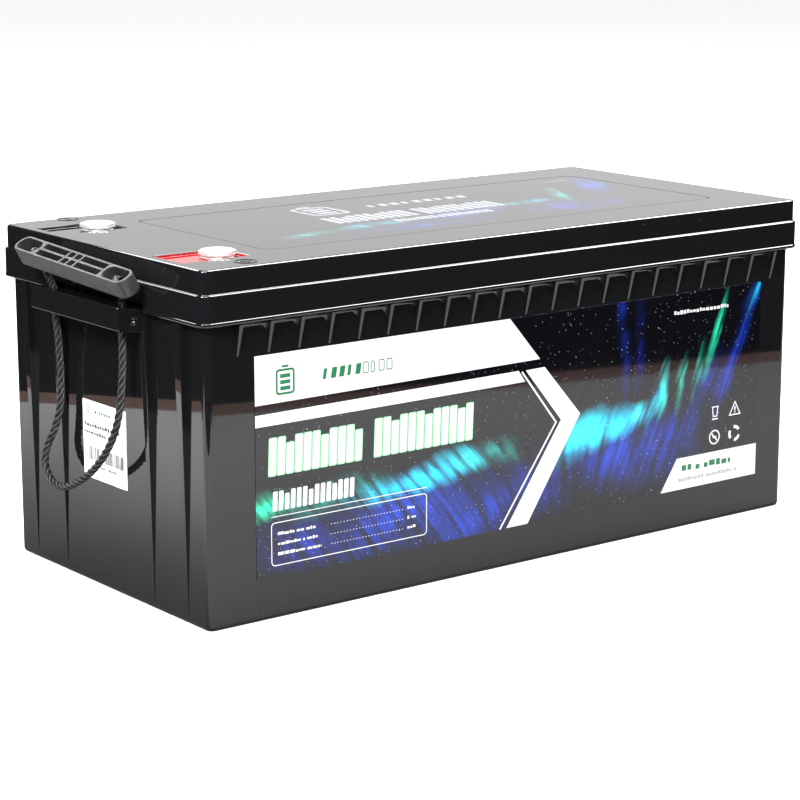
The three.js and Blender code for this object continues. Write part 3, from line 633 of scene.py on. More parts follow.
def cove(left, right, side, chance):
    """The rounded ceiling of the bay between two fins. It comes lower in the bay's corners."""
    middle_drop, corner_drop = chance.uniform(2.2, 3.4), chance.uniform(3.5, 6)
    angles = [pi / 2 * k / COVE.steps for k in range(COVE.steps + 1)]
    rings = []
    for i in range(COVE.stations + 1):
        share = i / COVE.stations
        near_fin = max(0, 1 - min(share, 1 - share) / COVE.corner) ** 2
        drop = middle_drop + corner_drop * near_fin
        bend = [(COVE.reach * (1 - cos(a)), FIN_TOP - drop * (1 - sin(a))) for a in angles]
        bend += [(-FIN_ROOT, FIN_TOP), (-FIN_ROOT, FIN_TOP - drop)]
        x = left + (right - left) * share
        rings.append([(-side * x, side * (CASE_Y + reach), z) for reach, z in bend])
    return skin(rings)


def case_fins():
    chance = random.Random(11)
    inside_fin = 0.6
    fins = []
    for i in range(SIDE_FINS.count):
        x = (i - (SIDE_FINS.count - 1) / 2) * SIDE_FINS.pitch + SIDE_FINS.shift
        for side in BOTH:
            fins.append(fin((-side * x, side * CASE_Y), (1, 0), (0, side), SIDE_FINS))
            if i:
                fins.append(cove(x - SIDE_FINS.pitch + inside_fin, x - inside_fin, side, chance))
    for side in BOTH:
        for y in END_FINS.places:
            fins.append(fin((side * CASE_X, y), (0, 1), (side, 0), END_FINS))
    return fins


def dimple_cutter(x, end):
    """A round bowl in one of the bar's end faces."""
    radius, deep = DIMPLE.radius, DIMPLE.deep
    angles = [radians(a) for a in range(0, 90, 15)]
    bowl = [(radius * sin(a), -deep * cos(a)) for a in angles]
    cutter = turned([*bowl, (radius, -0.2), (radius + 0.2, 0), (radius + 0.2, 3), (0, 3)], (0, 0), 28)
    middle = Matrix.Translation((x, end * BAR.half, BAR.top - (BAR.height + BAR.rise) / 2))
    return moved(cutter, middle @ Matrix.Rotation(radians(-90 * end), 4, "X"))


def handle_bar(side):
    """The lug bar of one end, with a hole for each leg of the rope."""
    outer, wall, half = side * (HALF_X + BAR.reach), side * (CASE_X - 1), BAR.half
    plan = [(outer, -half, 0), (wall, -half, BAR.rise), (wall, half, BAR.rise), (outer, half, 0)]
    levels = (BAR.top - BAR.height, BAR.top)
    body = bevelled(skin([[(x, y, level - drop) for x, y, drop in plan] for level in levels]), 1.3, 3)
    x = side * BAR.x
    holes = [rod((x, end * ROPE_HALF), BAR.top - 30, BAR.top + 9, ROPE_HOLE / 2, 32) for end in BOTH]
    dimples = [dimple_cutter(x, end) for end in BOTH]
    return bevelled(carved(body, holes + dimples), 0.45, 2, 55)


piece("case_moulding", joined([case_shell(), *case_fins(), handle_bar(-1), handle_bar(1)]),
      BLACK_PLASTIC, "battery", ["case"])

# --- Lid ---

TOP_LABEL_LOW, TOP_LABEL_HIGH = span("top_label")
TOP_LABEL_MIDDLE = ((TOP_LABEL_LOW + TOP_LABEL_HIGH) / 2).xy
TOP_LABEL_HALF = (TOP_LABEL_HIGH - TOP_LABEL_LOW) / 2
TOP_LABEL_CORNER = 9


def lid_shell():
    inner, bead, foot, shoulder = LID_INSET + WALL, 2.5, 1.4, 1.2
    return rounded_body(HALF_X, HALF_Y, SKIRT_CORNER, [
        (inner, LID_TOP - 4), (inner, SHOULDER), (3, SHOULDER), (3, SKIRT_BOTTOM + 0.4), (2.6, SKIRT_BOTTOM),
        *arc((foot, SKIRT_BOTTOM + foot), foot, 270, 180, 5),
        *arc((0.5, SKIRT_BOTTOM + bead - 0.3), 0.5, 180, 110, 3),
        (0.45, SKIRT_BOTTOM + bead + 0.35),
        *arc((0.45 + shoulder, LEDGE_TOP - shoulder), shoulder, 180, 90, 5),
        *arc((LID_INSET - 0.5, LEDGE_TOP + 0.5), 0.5, 270, 360, 3),
        *arc((LID_INSET + 1.7, LID_TOP - 1.7), 1.7, 180, 90, 6),
    ], steps=8)


def terminal_place(side):
    return TERMINAL.x, side * TERMINAL.y


def pocket_body(side, profile, grow=0.0, corner=POCKET.corner, steps=5):
    """A rounded box about the middle of a terminal pocket."""
    return rounded_body(POCKET.half_x + grow, POCKET.half_y + grow, corner, profile,
                        (POCKET.x, side * TERMINAL.y), steps)


def notch_cutter(side):
    """Makes room in the skirt for the lug bar."""
    ring = rounded_ring(NOTCH.half, NOTCH.height, NOTCH.corner, 0, (0, NOTCH.top - NOTCH.height), 5)
    return skin([[(side * x, y, z) for y, z, _ in ring] for x in (HALF_X - 8, HALF_X + 5)])


def terminal_boss(side):
    """The walls and floor round a terminal pocket, bored for the post's neck."""
    boss = pocket_body(side, [(0, 220), (0, LID_TOP - 1)], 2.6, 3, 4)
    hollow = pocket_body(side, [(0, POCKET.floor), (0, LID_TOP + 5)])
    return carved(boss, [hollow, rod(terminal_place(side), 215, LID_TOP, POST.neck / 2 + GAP, 32)])


def polarity_mark(place, plus):
    """A raised ring round a plus or a minus."""
    root, crown = LID_TOP - 0.2, LID_TOP + 0.28
    shapes = [turned([(6.7, root), (6.75, crown), (7.5, crown), (7.55, root)], place, 56)]
    for half_x, half_y in [(4, 0.8), (0.8, 4)] if plus else [(0.8, 4)]:
        shapes.append(rounded_body(half_x, half_y, 0.4, [(0, root), (0.05, LID_TOP + 0.25)], place, 3))
    return shapes


def make_lid():
    label_bed = rounded_body(TOP_LABEL_HALF.x + 0.2, TOP_LABEL_HALF.y + 0.2, TOP_LABEL_CORNER,
                             [(0, LID_TOP - 0.4), (-0.05, LID_TOP + 5)], TOP_LABEL_MIDDLE, 8)
    pocket = [(0, POCKET.floor), (0, LID_TOP - 0.5), (-0.12, LID_TOP - 0.2), (-0.45, LID_TOP + 0.03),
              (-0.45, LID_TOP + 5)]
    shell = carved(lid_shell(), [label_bed, notch_cutter(-1), notch_cutter(1),
                                 pocket_body(-1, pocket), pocket_body(1, pocket)])
    marks = polarity_mark((-215.7, -107.8), True) + polarity_mark((-212, 115.4), False)
    return joined([shell, terminal_boss(-1), terminal_boss(1), *marks])


piece("lid_moulding", make_lid(), LID_PLASTIC, "battery", ["lid"])

# --- Terminals ---

TRAY_BOTTOM = POCKET.floor + GAP


def insert_tray(side):
    top, wall, floor = INSERT.top, INSERT.wall, TRAY_BOTTOM + INSERT.floor
    tray = pocket_body(side, [
        (0, TRAY_BOTTOM), (0, top - 0.35), (0.12, top - 0.1), (0.35, top), (wall - 0.35, top),
        (wall - 0.1, top - 0.12), (wall, top - 0.4), (wall, floor + 0.4), (wall + 0.12, floor + 0.12),
        (wall + 0.4, floor),
    ], -GAP, POCKET.corner + 0.4)
    neck, flange, seat = POST.neck / 2 + GAP, POST.flange / 2 + GAP, TRAY_BOTTOM + INSERT.seat - GAP
    bore = turned([(0, TRAY_BOTTOM - 5), (neck, TRAY_BOTTOM - 5), (neck, seat), (flange, seat),
                   (flange, top + 5), (0, top + 5)], terminal_place(side))
    return carved(tray, [bore])


def post_body(side):
    """A flanged post with grooves in its bore for a thread."""
    bottom, top, flange, neck, bore = POST.bottom, POST.top, POST.flange / 2, POST.neck / 2, POST.bore / 2
    seat = TRAY_BOTTOM + INSERT.seat
    grooves = []
    z = top - 2
    while z > bottom + 3:
        grooves += [(bore, z), (bore + 0.35, z - 0.4), (bore, z - 0.8)]
        z -= SHANK.pitch
    return turned([
        (bore + 0.6, bottom), (neck, bottom), (neck, seat), (flange - 0.2, seat), (flange, seat + 0.25),
        (flange, top - 0.4), (flange - 0.12, top - 0.12), (flange - 0.4, top), (bore + 0.7, top),
        (bore, top - 0.7), *grooves, (bore, bottom + 0.8),
    ], terminal_place(side), 64)


def washer_body(side):
    low, high = WASHER.bottom, WASHER.bottom + WASHER.thick
    outer, bore = WASHER.diameter / 2, WASHER.bore / 2
    return turned([
        (bore, low + 0.1), (bore + 0.1, low), (outer - 0.2, low), (outer, low + 0.2), (outer, high - 0.25),
        (outer - 0.25, high), (bore + 0.1, high), (bore, high - 0.1),
    ], terminal_place(side), 64)


def bolt_thread(place, low, high):
    """The shank's helical thread, as an open surface between two heights."""
    sides, levels_per_turn = 32, 8
    count = round((high - low) * levels_per_turn / SHANK.pitch)
    rings = []
    for j in range(count + 1):
        z = low + (high - low) * j / count
        radii = []
        for i in range(sides):
            phase = (z / SHANK.pitch - i / sides) % 1
            depth = min(1, max(0, 1.5 * abs(2 * phase - 1) - 0.25))
            radii.append((SHANK.diameter - SHANK.groove * depth) / 2)
        rings.append(ring_about(place, z, radii))
    return skin(rings, capped=False)


def bolt_head(place):
    """A wide hexagonal head with its corners turned down."""
    low, top, flats = HEAD.top - HEAD.height, HEAD.top, HEAD.flats / 2
    corner = flats / cos(pi / 6)
    profile = [
        (flats - 1.2, low), (flats - 0.1, low + 0.05), (corner - 0.35, low + 0.35), (corner + 1, low + 0.9),
        (corner + 1, top - 1.0), (corner - 0.55, top - 0.55), (flats + 0.1, top - 0.28),
        (flats - 0.35, top - 0.09), (flats - 0.9, top), (flats - 2.2, top),
    ]
    sides, sixth = 120, pi / 6
    off_corner = [abs(2 * pi * i / sides % (2 * sixth) - sixth) for i in range(sides)]
    hexagon = [flats / cos(sixth - angle) for angle in off_corner]
    rings = []
    for reach, z in profile:
        radii = [min(across, reach, corner - 0.25) if reach > flats else reach for across in hexagon]
        rings.append(ring_about(place, z, radii))
    return skin(rings)


def bolt_body(side):
    place, radius = terminal_place(side), SHANK.diameter / 2
    low = HEAD.top - HEAD.height
    end = low - SHANK.length
    tip = turned([(0, end), (radius - 1.3, end), (radius - 0.7, end + 0.9), (0, end + 0.95)], place, 32)
    neck = turned([(0, low - 2.3), (radius - 0.5, low - 2.3), (radius, low - 1.7), (radius, low + 0.1),
                   (0, low + 0.1)], place, 32)
    return joined([bolt_head(place), bolt_thread(place, end + 0.9, low - 2.2), tip, neck])


for terminal, side, look, slot in (("positive", -1, RED_PLASTIC, "red_insert"),
                                   ("negative", 1, BLACK_PLASTIC, "black_abs")):
    piece(f"{terminal}_tray", insert_tray(side), look, "battery", [f"{terminal}_terminal_insert"])
    piece(f"{terminal}_post", post_body(side), NICKEL, "battery", [f"{terminal}_terminal_post"])
    piece(f"{terminal}_flat_washer", washer_body(side), NICKEL, f"{terminal}_washer",
          [f"{terminal}_terminal_washer"])
    piece(f"{terminal}_hex_bolt", bolt_body(side), NICKEL, f"{terminal}_bolt",
          [f"{terminal}_terminal_bolt"])

# --- Handles ---


def grip_pose(hand):
    place, roll = GRIP_PLACE[hand]
    pose = Matrix.Translation(place)
    for degrees, axis in ((GRIP_YAW, "Z"), (roll, "X"), (-GRIP_TILT, "Y")):
        pose = pose @ Matrix.Rotation(radians(degrees), 4, axis)
    return pose


# The slack of the rope, from one hole in the bar to the other. It starts and ends inside the holes.
LOOP_ROUTE = [
    (-265.8, 42, 186), (-265.3, 42.2, 178), (-263.8, 42.6, 167.5), (-262.2, 44, 149), (-261.6, 44.6, 132.5),
    (-262.2, 46.3, 115), (-264.2, 51.8, 99.6), (-266.6, 57.6, 87), (-268.6, 56.6, 76.6), (-270.4, 46.5, 69),
    (-271.8, 32, 66.8), (-272.6, 17, 70.5), (-272.8, 1, 78), (-272.4, -13.5, 87.6), (-271, -25.5, 99.5),
    (-269, -34, 113.5), (-267.4, -39.2, 130.5), (-266.2, -41.4, 151), (-265.8, -42, 169.5),
    (-265.8, -42, 186),
]


def smooth_route(points, step):
    """Points about one step apart on a centripetal Catmull-Rom curve through the given ones."""
    points = [Vector(p) for p in points]
    points = [2 * points[0] - points[1], *points, 2 * points[-1] - points[-2]]
    per_span = 40
    fine = []
    for a, b, c, d in zip(points, points[1:], points[2:], points[3:]):
        t1 = (b - a).length ** 0.5
        t2 = t1 + (c - b).length ** 0.5
        t3 = t2 + (d - c).length ** 0.5
        for k in range(per_span):
            t = t1 + (t2 - t1) * k / per_span
            ab, bc, cd = a.lerp(b, t / t1), b.lerp(c, (t - t1) / (t2 - t1)), c.lerp(d, (t - t2) / (t3 - t2))
            abc, bcd = ab.lerp(bc, t / t2), bc.lerp(cd, (t - t1) / (t3 - t1))
            fine.append(abc.lerp(bcd, (t - t1) / (t2 - t1)))
    fine.append(points[-2])
    along = [0.0]
    for a, b in zip(fine, fine[1:]):
        along.append(along[-1] + (b - a).length)
    places = np.linspace(0, along[-1], max(2, round(along[-1] / step)) + 1)
    columns = [np.interp(places, along, [point[axis] for point in fine]) for axis in range(3)]
    return [Vector(map(float, point)) for point in zip(*columns)], along[-1]


def rope_skin(rings, step):
    """A capped skin with a UV map of strands round it and length along it."""
    shape = skin(rings)
    around = len(rings[0])
    layer = shape.loops.layers.uv.new("strands")
    shape.verts.index_update()
    for face in list(shape.faces)[:-2]:
        spots = [divmod(loop.vert.index, around) for loop in face.loops]
        over_seam = {column for _, column in spots} == {0, around - 1}
        for loop, (row, column) in zip(face.loops, spots):
            column = around if over_seam and column == 0 else column
            loop[layer].uv = (STRANDS * column / around, row * step)
    return shape


def laid_tube(route, length, lay, start_turn=0.0):
    """A rope of twisted strands along the route."""
    around, valley = 28, 0.6
    tangents = []
    for i in range(len(route)):
        ahead, behind = route[min(i + 1, len(route) - 1)], route[max(i - 1, 0)]
        tangents.append((ahead - behind).normalized())
    normal = tangents[0].orthogonal().normalized()
    step = length / (len(route) - 1)
    rings = []
    for i, (point, tangent) in enumerate(zip(route, tangents)):
        if i:
            normal = tangents[i - 1].rotation_difference(tangent) @ normal
        normal = (normal - tangent * normal.dot(tangent)).normalized()
        side = tangent.cross(normal)
        turn = 2 * pi * i * step / lay + start_turn
        ring = []
        for k in range(around):
            angle = 2 * pi * k / around
            lobe = abs(cos(STRANDS * angle / 2)) ** 0.85
            radius = ROPE / 2 * (valley + (1 - valley) * lobe)
            ring.append(point + (normal * cos(angle + turn) + side * sin(angle + turn)) * radius)
        rings.append(ring)
    return rope_skin(rings, step)


def grip_body():
    """The hand grip: a rounded bar with a cell at each end for the rope, and ribbed cells between them."""
    width, length, wall = GRIP.width / 2, GRIP.length / 2, GRIP.wall
    body = rounded_body(width, length, width - GAP, [
        *arc((1.4, 1.4 - GRIP.depth), 1.4, 270, 180, 4), *arc((0.45, -0.45), 0.45, 180, 90, 3),
    ], steps=10)
    inner, floor = width - wall, GRIP.floor - GRIP.depth
    cell_half, cell_profile = (GRIP_CELL[1] - GRIP_CELL[0]) / 2, [(0.4, floor), (0, floor + 0.5), (0, 5)]
    tools = []
    for end in BOTH:
        middle = (0, end * sum(GRIP_CELL) / 2)
        tools.append(rounded_body(inner, cell_half, inner - 0.5, cell_profile, middle, 8))
        tools.append(rod((0, end * GRIP.rope_half), -GRIP.depth - 5, 0, GRIP.hole / 2, 24))
    for low, high in zip(GRIP_RIBS, GRIP_RIBS[1:]):
        for side in BOTH:
            middle = (side * (inner + wall / 2) / 2, (low + high) / 2)
            tools.append(rounded_body((inner - wall / 2) / 2, (high - low - wall) / 2, 0.6,
                                      [(0.15, floor), (0, floor + 0.3), (0, 5)], middle, 3))
    grip = bevelled(carved(body, tools), 0.28, 2, 55)
    grip.faces.index_update()
    return grip


def in_a_cell(face):
    """Whether a face of the grip lines one of the cells, which get painted shade: a darker, duller material.
    """
    middle = face.calc_center_median()
    across, along = GRIP.width / 2 - GRIP.wall + 0.1, GRIP_CELL[1] + 0.1
    return -GRIP.depth + 0.5 < middle.z < -0.7 and abs(middle.x) < across and abs(middle.y) < along


def rope_stub(end):
    """The rope's end inside the grip's end cell, cut off and melted to a bulge."""
    around, twist_per_mm, row_length = 40, 0.22, 1.3
    profile = [(2.3, -1.9), (2.5, 0), (3.5, 0.9), (4.0, 2.6), (4.1, 4.6), (3.7, 6.4), (2.9, 7.6), (1.6, 8.3),
               (0.5, 8.5)]
    lobes = [abs(cos(STRANDS * pi * k / around)) ** 0.6 for k in range(around)]
    rings = []
    for radius, rise in profile:
        z = GRIP.floor - GRIP.depth + rise
        radii = [radius * (0.82 + 0.18 * lobe) for lobe in lobes]
        rings.append(ring_about((0, end * (GRIP.rope_half + 2)), z, radii, z * twist_per_mm * end))
    return rope_skin(rings, row_length)


def leg_route(end, pose):
    """From inside the bar's hole up into the underside of the grip."""
    in_bar = [(-BAR.x, end * ROPE_HALF, z) for z in (BAR_UNDERSIDE + 2.5, BAR_UNDERSIDE + 7, BAR.top - 4)]
    in_grip = [pose @ Vector((0, end * GRIP.rope_half, -GRIP.depth - below)) for below in (2.4, -0.6)]
    return in_bar + in_grip


def make_loop(hand, turn):
    """The slack of a handle's rope, which is a cord from one hole of the bar to the other."""
    route, length = smooth_route(LOOP_ROUTE, 0.7)
    loop = piece(f"{hand}_slack_rope", moved(laid_tube(route, length, LAY), turn), ROPE_YARN, None,
                 [f"{hand}_rope_loop"], 80, weighted=False)
    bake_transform(loop)


def make_leg(hand, facing, turn, end):
    """One leg of the rope, from the bar to the grip, and its melted end inside the grip."""
    rope_body, pose = f"{hand}_rope", grip_pose(hand)
    place = "front" if end * facing < 0 else "back"
    route, length = smooth_route(leg_route(end, pose), 0.5)
    made = piece(f"{hand}_leg_{place}", moved(laid_tube(route, length, LAY / 2, 0.4 * end), turn), ROPE_YARN,
                 None, [f"{hand}_rope_leg_{place}"], 80, weighted=False)
    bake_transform(made)
    piece(f"{hand}_stub_{place}", moved(rope_stub(end), turn @ pose), ROPE_YARN, f"{hand}_grip",
          [f"{hand}_rope_end_{place}"], 60)


def make_grip(hand, turn):
    """A handle's grip, with painted shade, a darker and duller material, on the walls of its cells."""
    body = grip_body()
    shaded_cell_faces = [face.index for face in body.faces if in_a_cell(face)]
    grip = piece(f"{hand}_hand_grip", moved(body, turn @ grip_pose(hand)), GREY_PLASTIC, f"{hand}_grip",
                 [f"{hand}_grip"])
    # The cell walls get the near-black material: painted shade where little light gets in.
    grip.data.materials.append(CELL_SHADE_PLASTIC)
    for index in shaded_cell_faces:
        grip.data.polygons[index].material_index = 1


for hand, facing in (("left", 1), ("right", -1)):
    turn = Matrix.Identity(4) if facing > 0 else Matrix.Rotation(pi, 4, "Z")
    make_loop(hand, turn)
    for end in BOTH:
        make_leg(hand, facing, turn, end)
    make_grip(hand, turn)

# --- Labels ---


def box_ring(x0, x1, y0, y1, corner, steps):
    """The (x, y) points round a rectangle with round corners."""
    middle = ((x0 + x1) / 2, (y0 + y1) / 2)
    return [(x, y) for x, y, _ in rounded_ring((x1 - x0) / 2, (y1 - y0) / 2, corner, 0, middle, steps)]


class Sheet:
    """A flat label. Its prints are placed in its own two directions and stand a hair proud of it."""

    def __init__(self, label, origin, right, up):
        self.label = label
        self.origin, self.right, self.up = Vector(origin), Vector(right), Vector(up)
        self.out = self.right.cross(self.up)
        self.shapes = {}

    def prism(self, outline, look, lift=0.03):
        """A thin closed body over an outline of (x, y) points."""
        rings = [[self.origin + self.right * x + self.up * y + self.out * rise for x, y in outline]
                 for rise in (0, lift)]
        self.shapes.setdefault(look, []).append(skin(rings))

    def patch(self, x0, x1, y0, y1, look, lift=0.03, corner=0.0, slant=0.0):
        corner = min(corner, (x1 - x0) / 2, (y1 - y0) / 2)
        outline = [(x0, y0), (x1, y0), (x1, y1), (x0, y1)]
        if corner > 0:
            outline = box_ring(x0, x1, y0, y1, corner, 4)
        self.prism([(x + slant * (y - y0), y) for x, y in outline], look, lift)

    def stroke(self, points, width, look, lift=0.03, closed=False):
        """A line of even width through the points, with mitred corners."""
        points = [Vector(p) for p in points]
        count = len(points)
        ends = []
        for i, point in enumerate(points):
            into = (point - points[i - 1]).normalized() if closed or i else None
            out_of = (points[(i + 1) % count] - point).normalized() if closed or i < count - 1 else None
            into, out_of = into or out_of, out_of or into
            bisect = (into + out_of).normalized()
            across = Vector((-bisect.y, bisect.x))
            reach = width / 2 / max(0.35, across.dot(Vector((-into.y, into.x))))
            ends.append((point - across * reach, point + across * reach))
        for (right, left), (next_right, next_left) in zip(ends, ends[1:] + ends[:1] if closed else ends[1:]):
            self.prism([right, next_right, next_left, left], look, lift)

    def frame(self, x0, x1, y0, y1, corner, width, look, lift=0.03):
        self.stroke(box_ring(x0, x1, y0, y1, corner, 5), width, look, lift, closed=True)

    def blocks(self, x0, x1, y0, y1, look, seed, lift=0.03, longest=2.4):
        """A row of small blocks that stands in for a line of print."""
        chance = random.Random(seed)
        tall = y1 - y0
        x = x0
        while x < x1:
            wide = min(chance.uniform(0.6, longest) * tall, x1 - x)
            low = y0 + tall * chance.choice((0, 0, 0.12))
            high = y1 - tall * chance.choice((0, 0.25, 0.25))
            if wide > 0.2:
                self.patch(x, x + wide, low, high, look, lift)
            x += wide + tall * chance.choice((0.3, 0.3, 0.3, 0.9))

    def finish(self):
        for look, shapes in self.shapes.items():
            piece(f"{self.label}_{look.name}", joined(shapes), look, "battery", weighted=False)


def charge_bars(sheet, x0, x1, y0, y1, count, seed, face, edge=None):
    """A row of bold slanted bars like a charge gauge, with edges of another colour if one is given."""
    chance = random.Random(seed)
    pitch, line = (x1 - x0) / count, 0.7
    for i in range(count):
        left = x0 + i * pitch
        right = left + pitch * 0.74
        top = y1 if i % 4 != 2 else y0 + (y1 - y0) * chance.uniform(0.78, 0.92)
        if edge:
            sheet.patch(left - line, right + line, y0 - line, top + line, edge, 0.03, 1.6 * line, 0.04)
        sheet.patch(left, right, y0, top, face, 0.05, 0.8, 0.04)


def charge_mark(sheet, x, y, size, look, lift):
    """A generic mark: an upright cell with its cap and three bars."""
    wide, tall, line = size * 0.62, size * 0.72, size * 0.07
    x0, y0 = x + size * 0.2, y - tall / 2
    sheet.frame(x0, x0 + wide, y0, y0 + tall, size * 0.08, line, look, lift)
    sheet.patch(x0 + wide * 0.3, x0 + wide * 0.7, y0 + tall + line, y0 + tall + size * 0.14, look, lift)
    for i in range(3):
        low = y0 + tall * (0.14 + 0.26 * i)
        sheet.patch(x0 + wide * 0.2, x0 + wide * 0.8, low, low + tall * 0.17, look, lift)


def name_row(sheet, x0, y0, y1, pitch, wide, narrow, look, lift, corner, filled=9):
    """Nine slanted blocks that stand in for a name. Those after the filled ones are outlines."""
    for i in range(9):
        left, right = x0 + i * pitch, x0 + i * pitch + (wide if i % 3 else narrow)
        if i < filled:
            sheet.patch(left, right, y0, y1, look, lift, corner, 0.16)
        else:
            sheet.frame(left, right, y0, y1, 0.9, 0.7, look, lift)


# Front label, with x along +X and y up.
FRONT_LOW, FRONT_HIGH = span("front_label")
FRONT_Y = FRONT_LOW.y
film = box_ring(FRONT_LOW.x, FRONT_HIGH.x, FRONT_LOW.z, FRONT_HIGH.z, 1.2, 4)
film_rings = [[(x, y, z) for x, z in film] for y in (FRONT_HIGH.y, FRONT_Y + 0.05)]
film_rings.append([(x * 0.9998, FRONT_Y, 100 + (z - 100) * 0.9996) for x, z in film])
piece("front_label_film", skin(film_rings), FRONT_FILM, "battery", ["front_label"],
      weighted=False)

front = Sheet("front_print", (0, FRONT_Y, 0), (1, 0, 0), (0, 0, 1))
LEFT, TOP = FRONT_LOW.x + 0.1, FRONT_HIGH.z - 0.1
front.prism([(LEFT, 140.5), (15.1, 141.5), (-11.8, TOP), (LEFT, TOP)], WHITE_INK)
front.prism([(LEFT, 126.6), (2.1, 127.4), (-3.7, 135.6), (LEFT, 134.3)], WHITE_INK)
front.stroke([(-0.9, 134.6), (30.3, 95.4), (-19.2, 27.5)], 1.3, WHITE_INK)
front.prism([(2.6, 135.1), (34.8, 96.5), (52.3, 98.6), (19.4, 135.4)], WHITE_INK)
front.prism([(34.8, 96.6), (-13.3, 27.5), (5.5, 27.5), (52.3, 98.6)], WHITE_INK)
charge_mark(front, -206, 153.6, 21, GREEN_INK, 0.05)
name_row(front, -166.5, 151, 158, 6.4, 4.1, 2.6, GREEN_INK, 0.05, 0.8, filled=5)
charge_bars(front, -208.5, -134.5, 94.4, 118, 11, 3, WHITE_INK, PALE_GREEN_INK)
charge_bars(front, -125.5, -42.5, 94.6, 119, 12, 5, WHITE_INK, PALE_GREEN_INK)
charge_bars(front, -206, -141, 70.8, 83.6, 14, 7, WHITE_INK)
front.patch(-207, -82.4, 67, 67.5, WHITE_INK)
front.frame(-207, -82.5, 35.2, 63.2, 2.6, 0.6, WHITE_INK)
for row, (z, wide) in enumerate(((54.8, 30), (48.2, 31), (41.6, 34))):
    front.blocks(-202.2, -202.2 + wide, z, z + 2, WHITE_INK, 20 + row)
    for i in range(24):
        left = -160.6 + i * 2.5
        front.patch(left, left + 0.9, z + 0.3, z + 0.7, WHITE_INK)
    front.blocks(-98.5, -91.5, z, z + 2, WHITE_INK, 40 + row, longest=1.2)
front.blocks(140, 193.5, 157.2, 160, WHITE_INK, 60, longest=1.1)
front.prism([(130.6, 28.6), (226.2, 28.6), (226.2, 51.9), (146, 51.9)], WHITE_INK)
front.blocks(151, 200, 41.5, 46.2, GREEN_INK, 61, 0.05, longest=1.3)
front.blocks(148, 206, 34.2, 37, GREY_INK, 62, 0.05, longest=1.0)


def box_icon(x, y):
    bin_line = [(x - 2.6, y + 3.2), (x - 1.9, y - 3.4), (x + 1.9, y - 3.4), (x + 2.6, y + 3.2)]
    front.stroke(bin_line, 0.8, WHITE_INK)
    front.patch(x - 3.4, x + 3.4, y + 3.2, y + 4, WHITE_INK)
    front.patch(x - 2.9, x + 2.9, y - 5.9, y - 4.9, WHITE_INK)


def triangle_icon(x, y):
    front.stroke([(x - 5.4, y - 4.2), (x + 5.4, y - 4.2), (x, y + 5.2)], 0.9, WHITE_INK, closed=True)
    front.patch(x - 0.6, x + 0.6, y - 1.4, y + 2, WHITE_INK)
    front.patch(x - 0.6, x + 0.6, y - 2.9, y - 2, WHITE_INK)


def circle(x, y):
    return [(x, y) for x, y, _ in ring_about((x, y), 0, [4.9] * 36)]


def ring_icon(x, y):
    front.stroke(circle(x, y), 1.1, WHITE_INK, closed=True)
    front.stroke([(x - 3.4, y + 3.4), (x + 3.4, y - 3.4)], 1.1, WHITE_INK)
    front.patch(x - 1.9, x + 1.9, y - 0.5, y + 0.6, WHITE_INK, 0.04)


def arcs_icon(x, y):
    for start in (3, 15, 27):
        front.stroke([circle(x, y)[(start + i) % 36] for i in range(8)], 2.3, WHITE_INK)


box_icon(183.2, 81.5)
triangle_icon(203.3, 81)
ring_icon(183.2, 62.6)
arcs_icon(203.4, 62.6)
front.finish()

# Top label, read from the front, with x along +X and y along +Y.
top_film = rounded_body(TOP_LABEL_HALF.x, TOP_LABEL_HALF.y, TOP_LABEL_CORNER,
                        [(0, TOP_LABEL_LOW.z), (0, TOP_LABEL_HIGH.z - 0.05), (0.05, TOP_LABEL_HIGH.z)],
                        TOP_LABEL_MIDDLE, 8)
piece("top_label_film", top_film, TOP_FILM, "battery", ["top_label"], weighted=False)
top = Sheet("top_print", (0, 0, TOP_LABEL_HIGH.z), (1, 0, 0), (0, 1, 0))
inset = 0.5
top.frame(TOP_LABEL_LOW.x + inset, TOP_LABEL_HIGH.x - inset, TOP_LABEL_LOW.y + inset,
          TOP_LABEL_HIGH.y - inset, TOP_LABEL_CORNER - inset, 1.2, BORDER_INK, 0.02)
charge_mark(top, -76, 40, 46, FADED_INK, 0.03)
name_row(top, -12, 34, 43.5, 10.2, 6.6, 4.2, FADED_INK, 0.03, 1.2)
charge_bars(top, -76, -4, -16, 11, 10, 3, FADED_INK)
charge_bars(top, 2, 74, -16, 11, 10, 5, FADED_INK)
charge_bars(top, -38, 48, -34, -23, 14, 7, FADED_INK)
top.blocks(176, 197, 60, 63, FADED_INK, 64, longest=1.1)
top.finish()

# End sticker, read from the terminal end, with x along -Y and y up.
STICKER_LOW, STICKER_HIGH = span("end_sticker")
sheet_ring = box_ring(STICKER_LOW.y, STICKER_HIGH.y, STICKER_LOW.z, STICKER_HIGH.z, 0.8, 3)
sticker_body = skin([[(x, y, z) for y, z in sheet_ring] for x in (STICKER_HIGH.x, STICKER_LOW.x)])
piece("sticker_paper", sticker_body, STICKER_PAPER, "battery", ["end_sticker"], weighted=False)
sticker = Sheet("sticker_print", (STICKER_LOW.x, 0, 0), (0, -1, 0), (0, 0, 1))
charge_mark(sticker, -26, 118.4, 8.6, GREEN_INK, 0.03)
sticker.blocks(-14, 6, 117, 119.6, GREEN_INK, 70, longest=1.1)
sticker.patch(-27.5, 24.2, 112.7, 113, GREY_INK)
for row, (z, wide) in enumerate(((107.2, 44), (102.2, 38))):
    sticker.blocks(-27, -27 + wide, z, z + 2.6, DARK_INK, 71 + row, longest=1.2)
stripes = random.Random(9)
left = -24.0
while left < 21:
    wide = stripes.choice((0.4, 0.8, 1.2))
    sticker.patch(left, left + wide, 85, 94, DARK_INK)
    left += wide + stripes.choice((0.4, 0.6, 0.9))
sticker.blocks(-15, 12, 80.6, 82.4, DARK_INK, 75, longest=1.0)
sticker.finish()

# --- Inner pieces ---

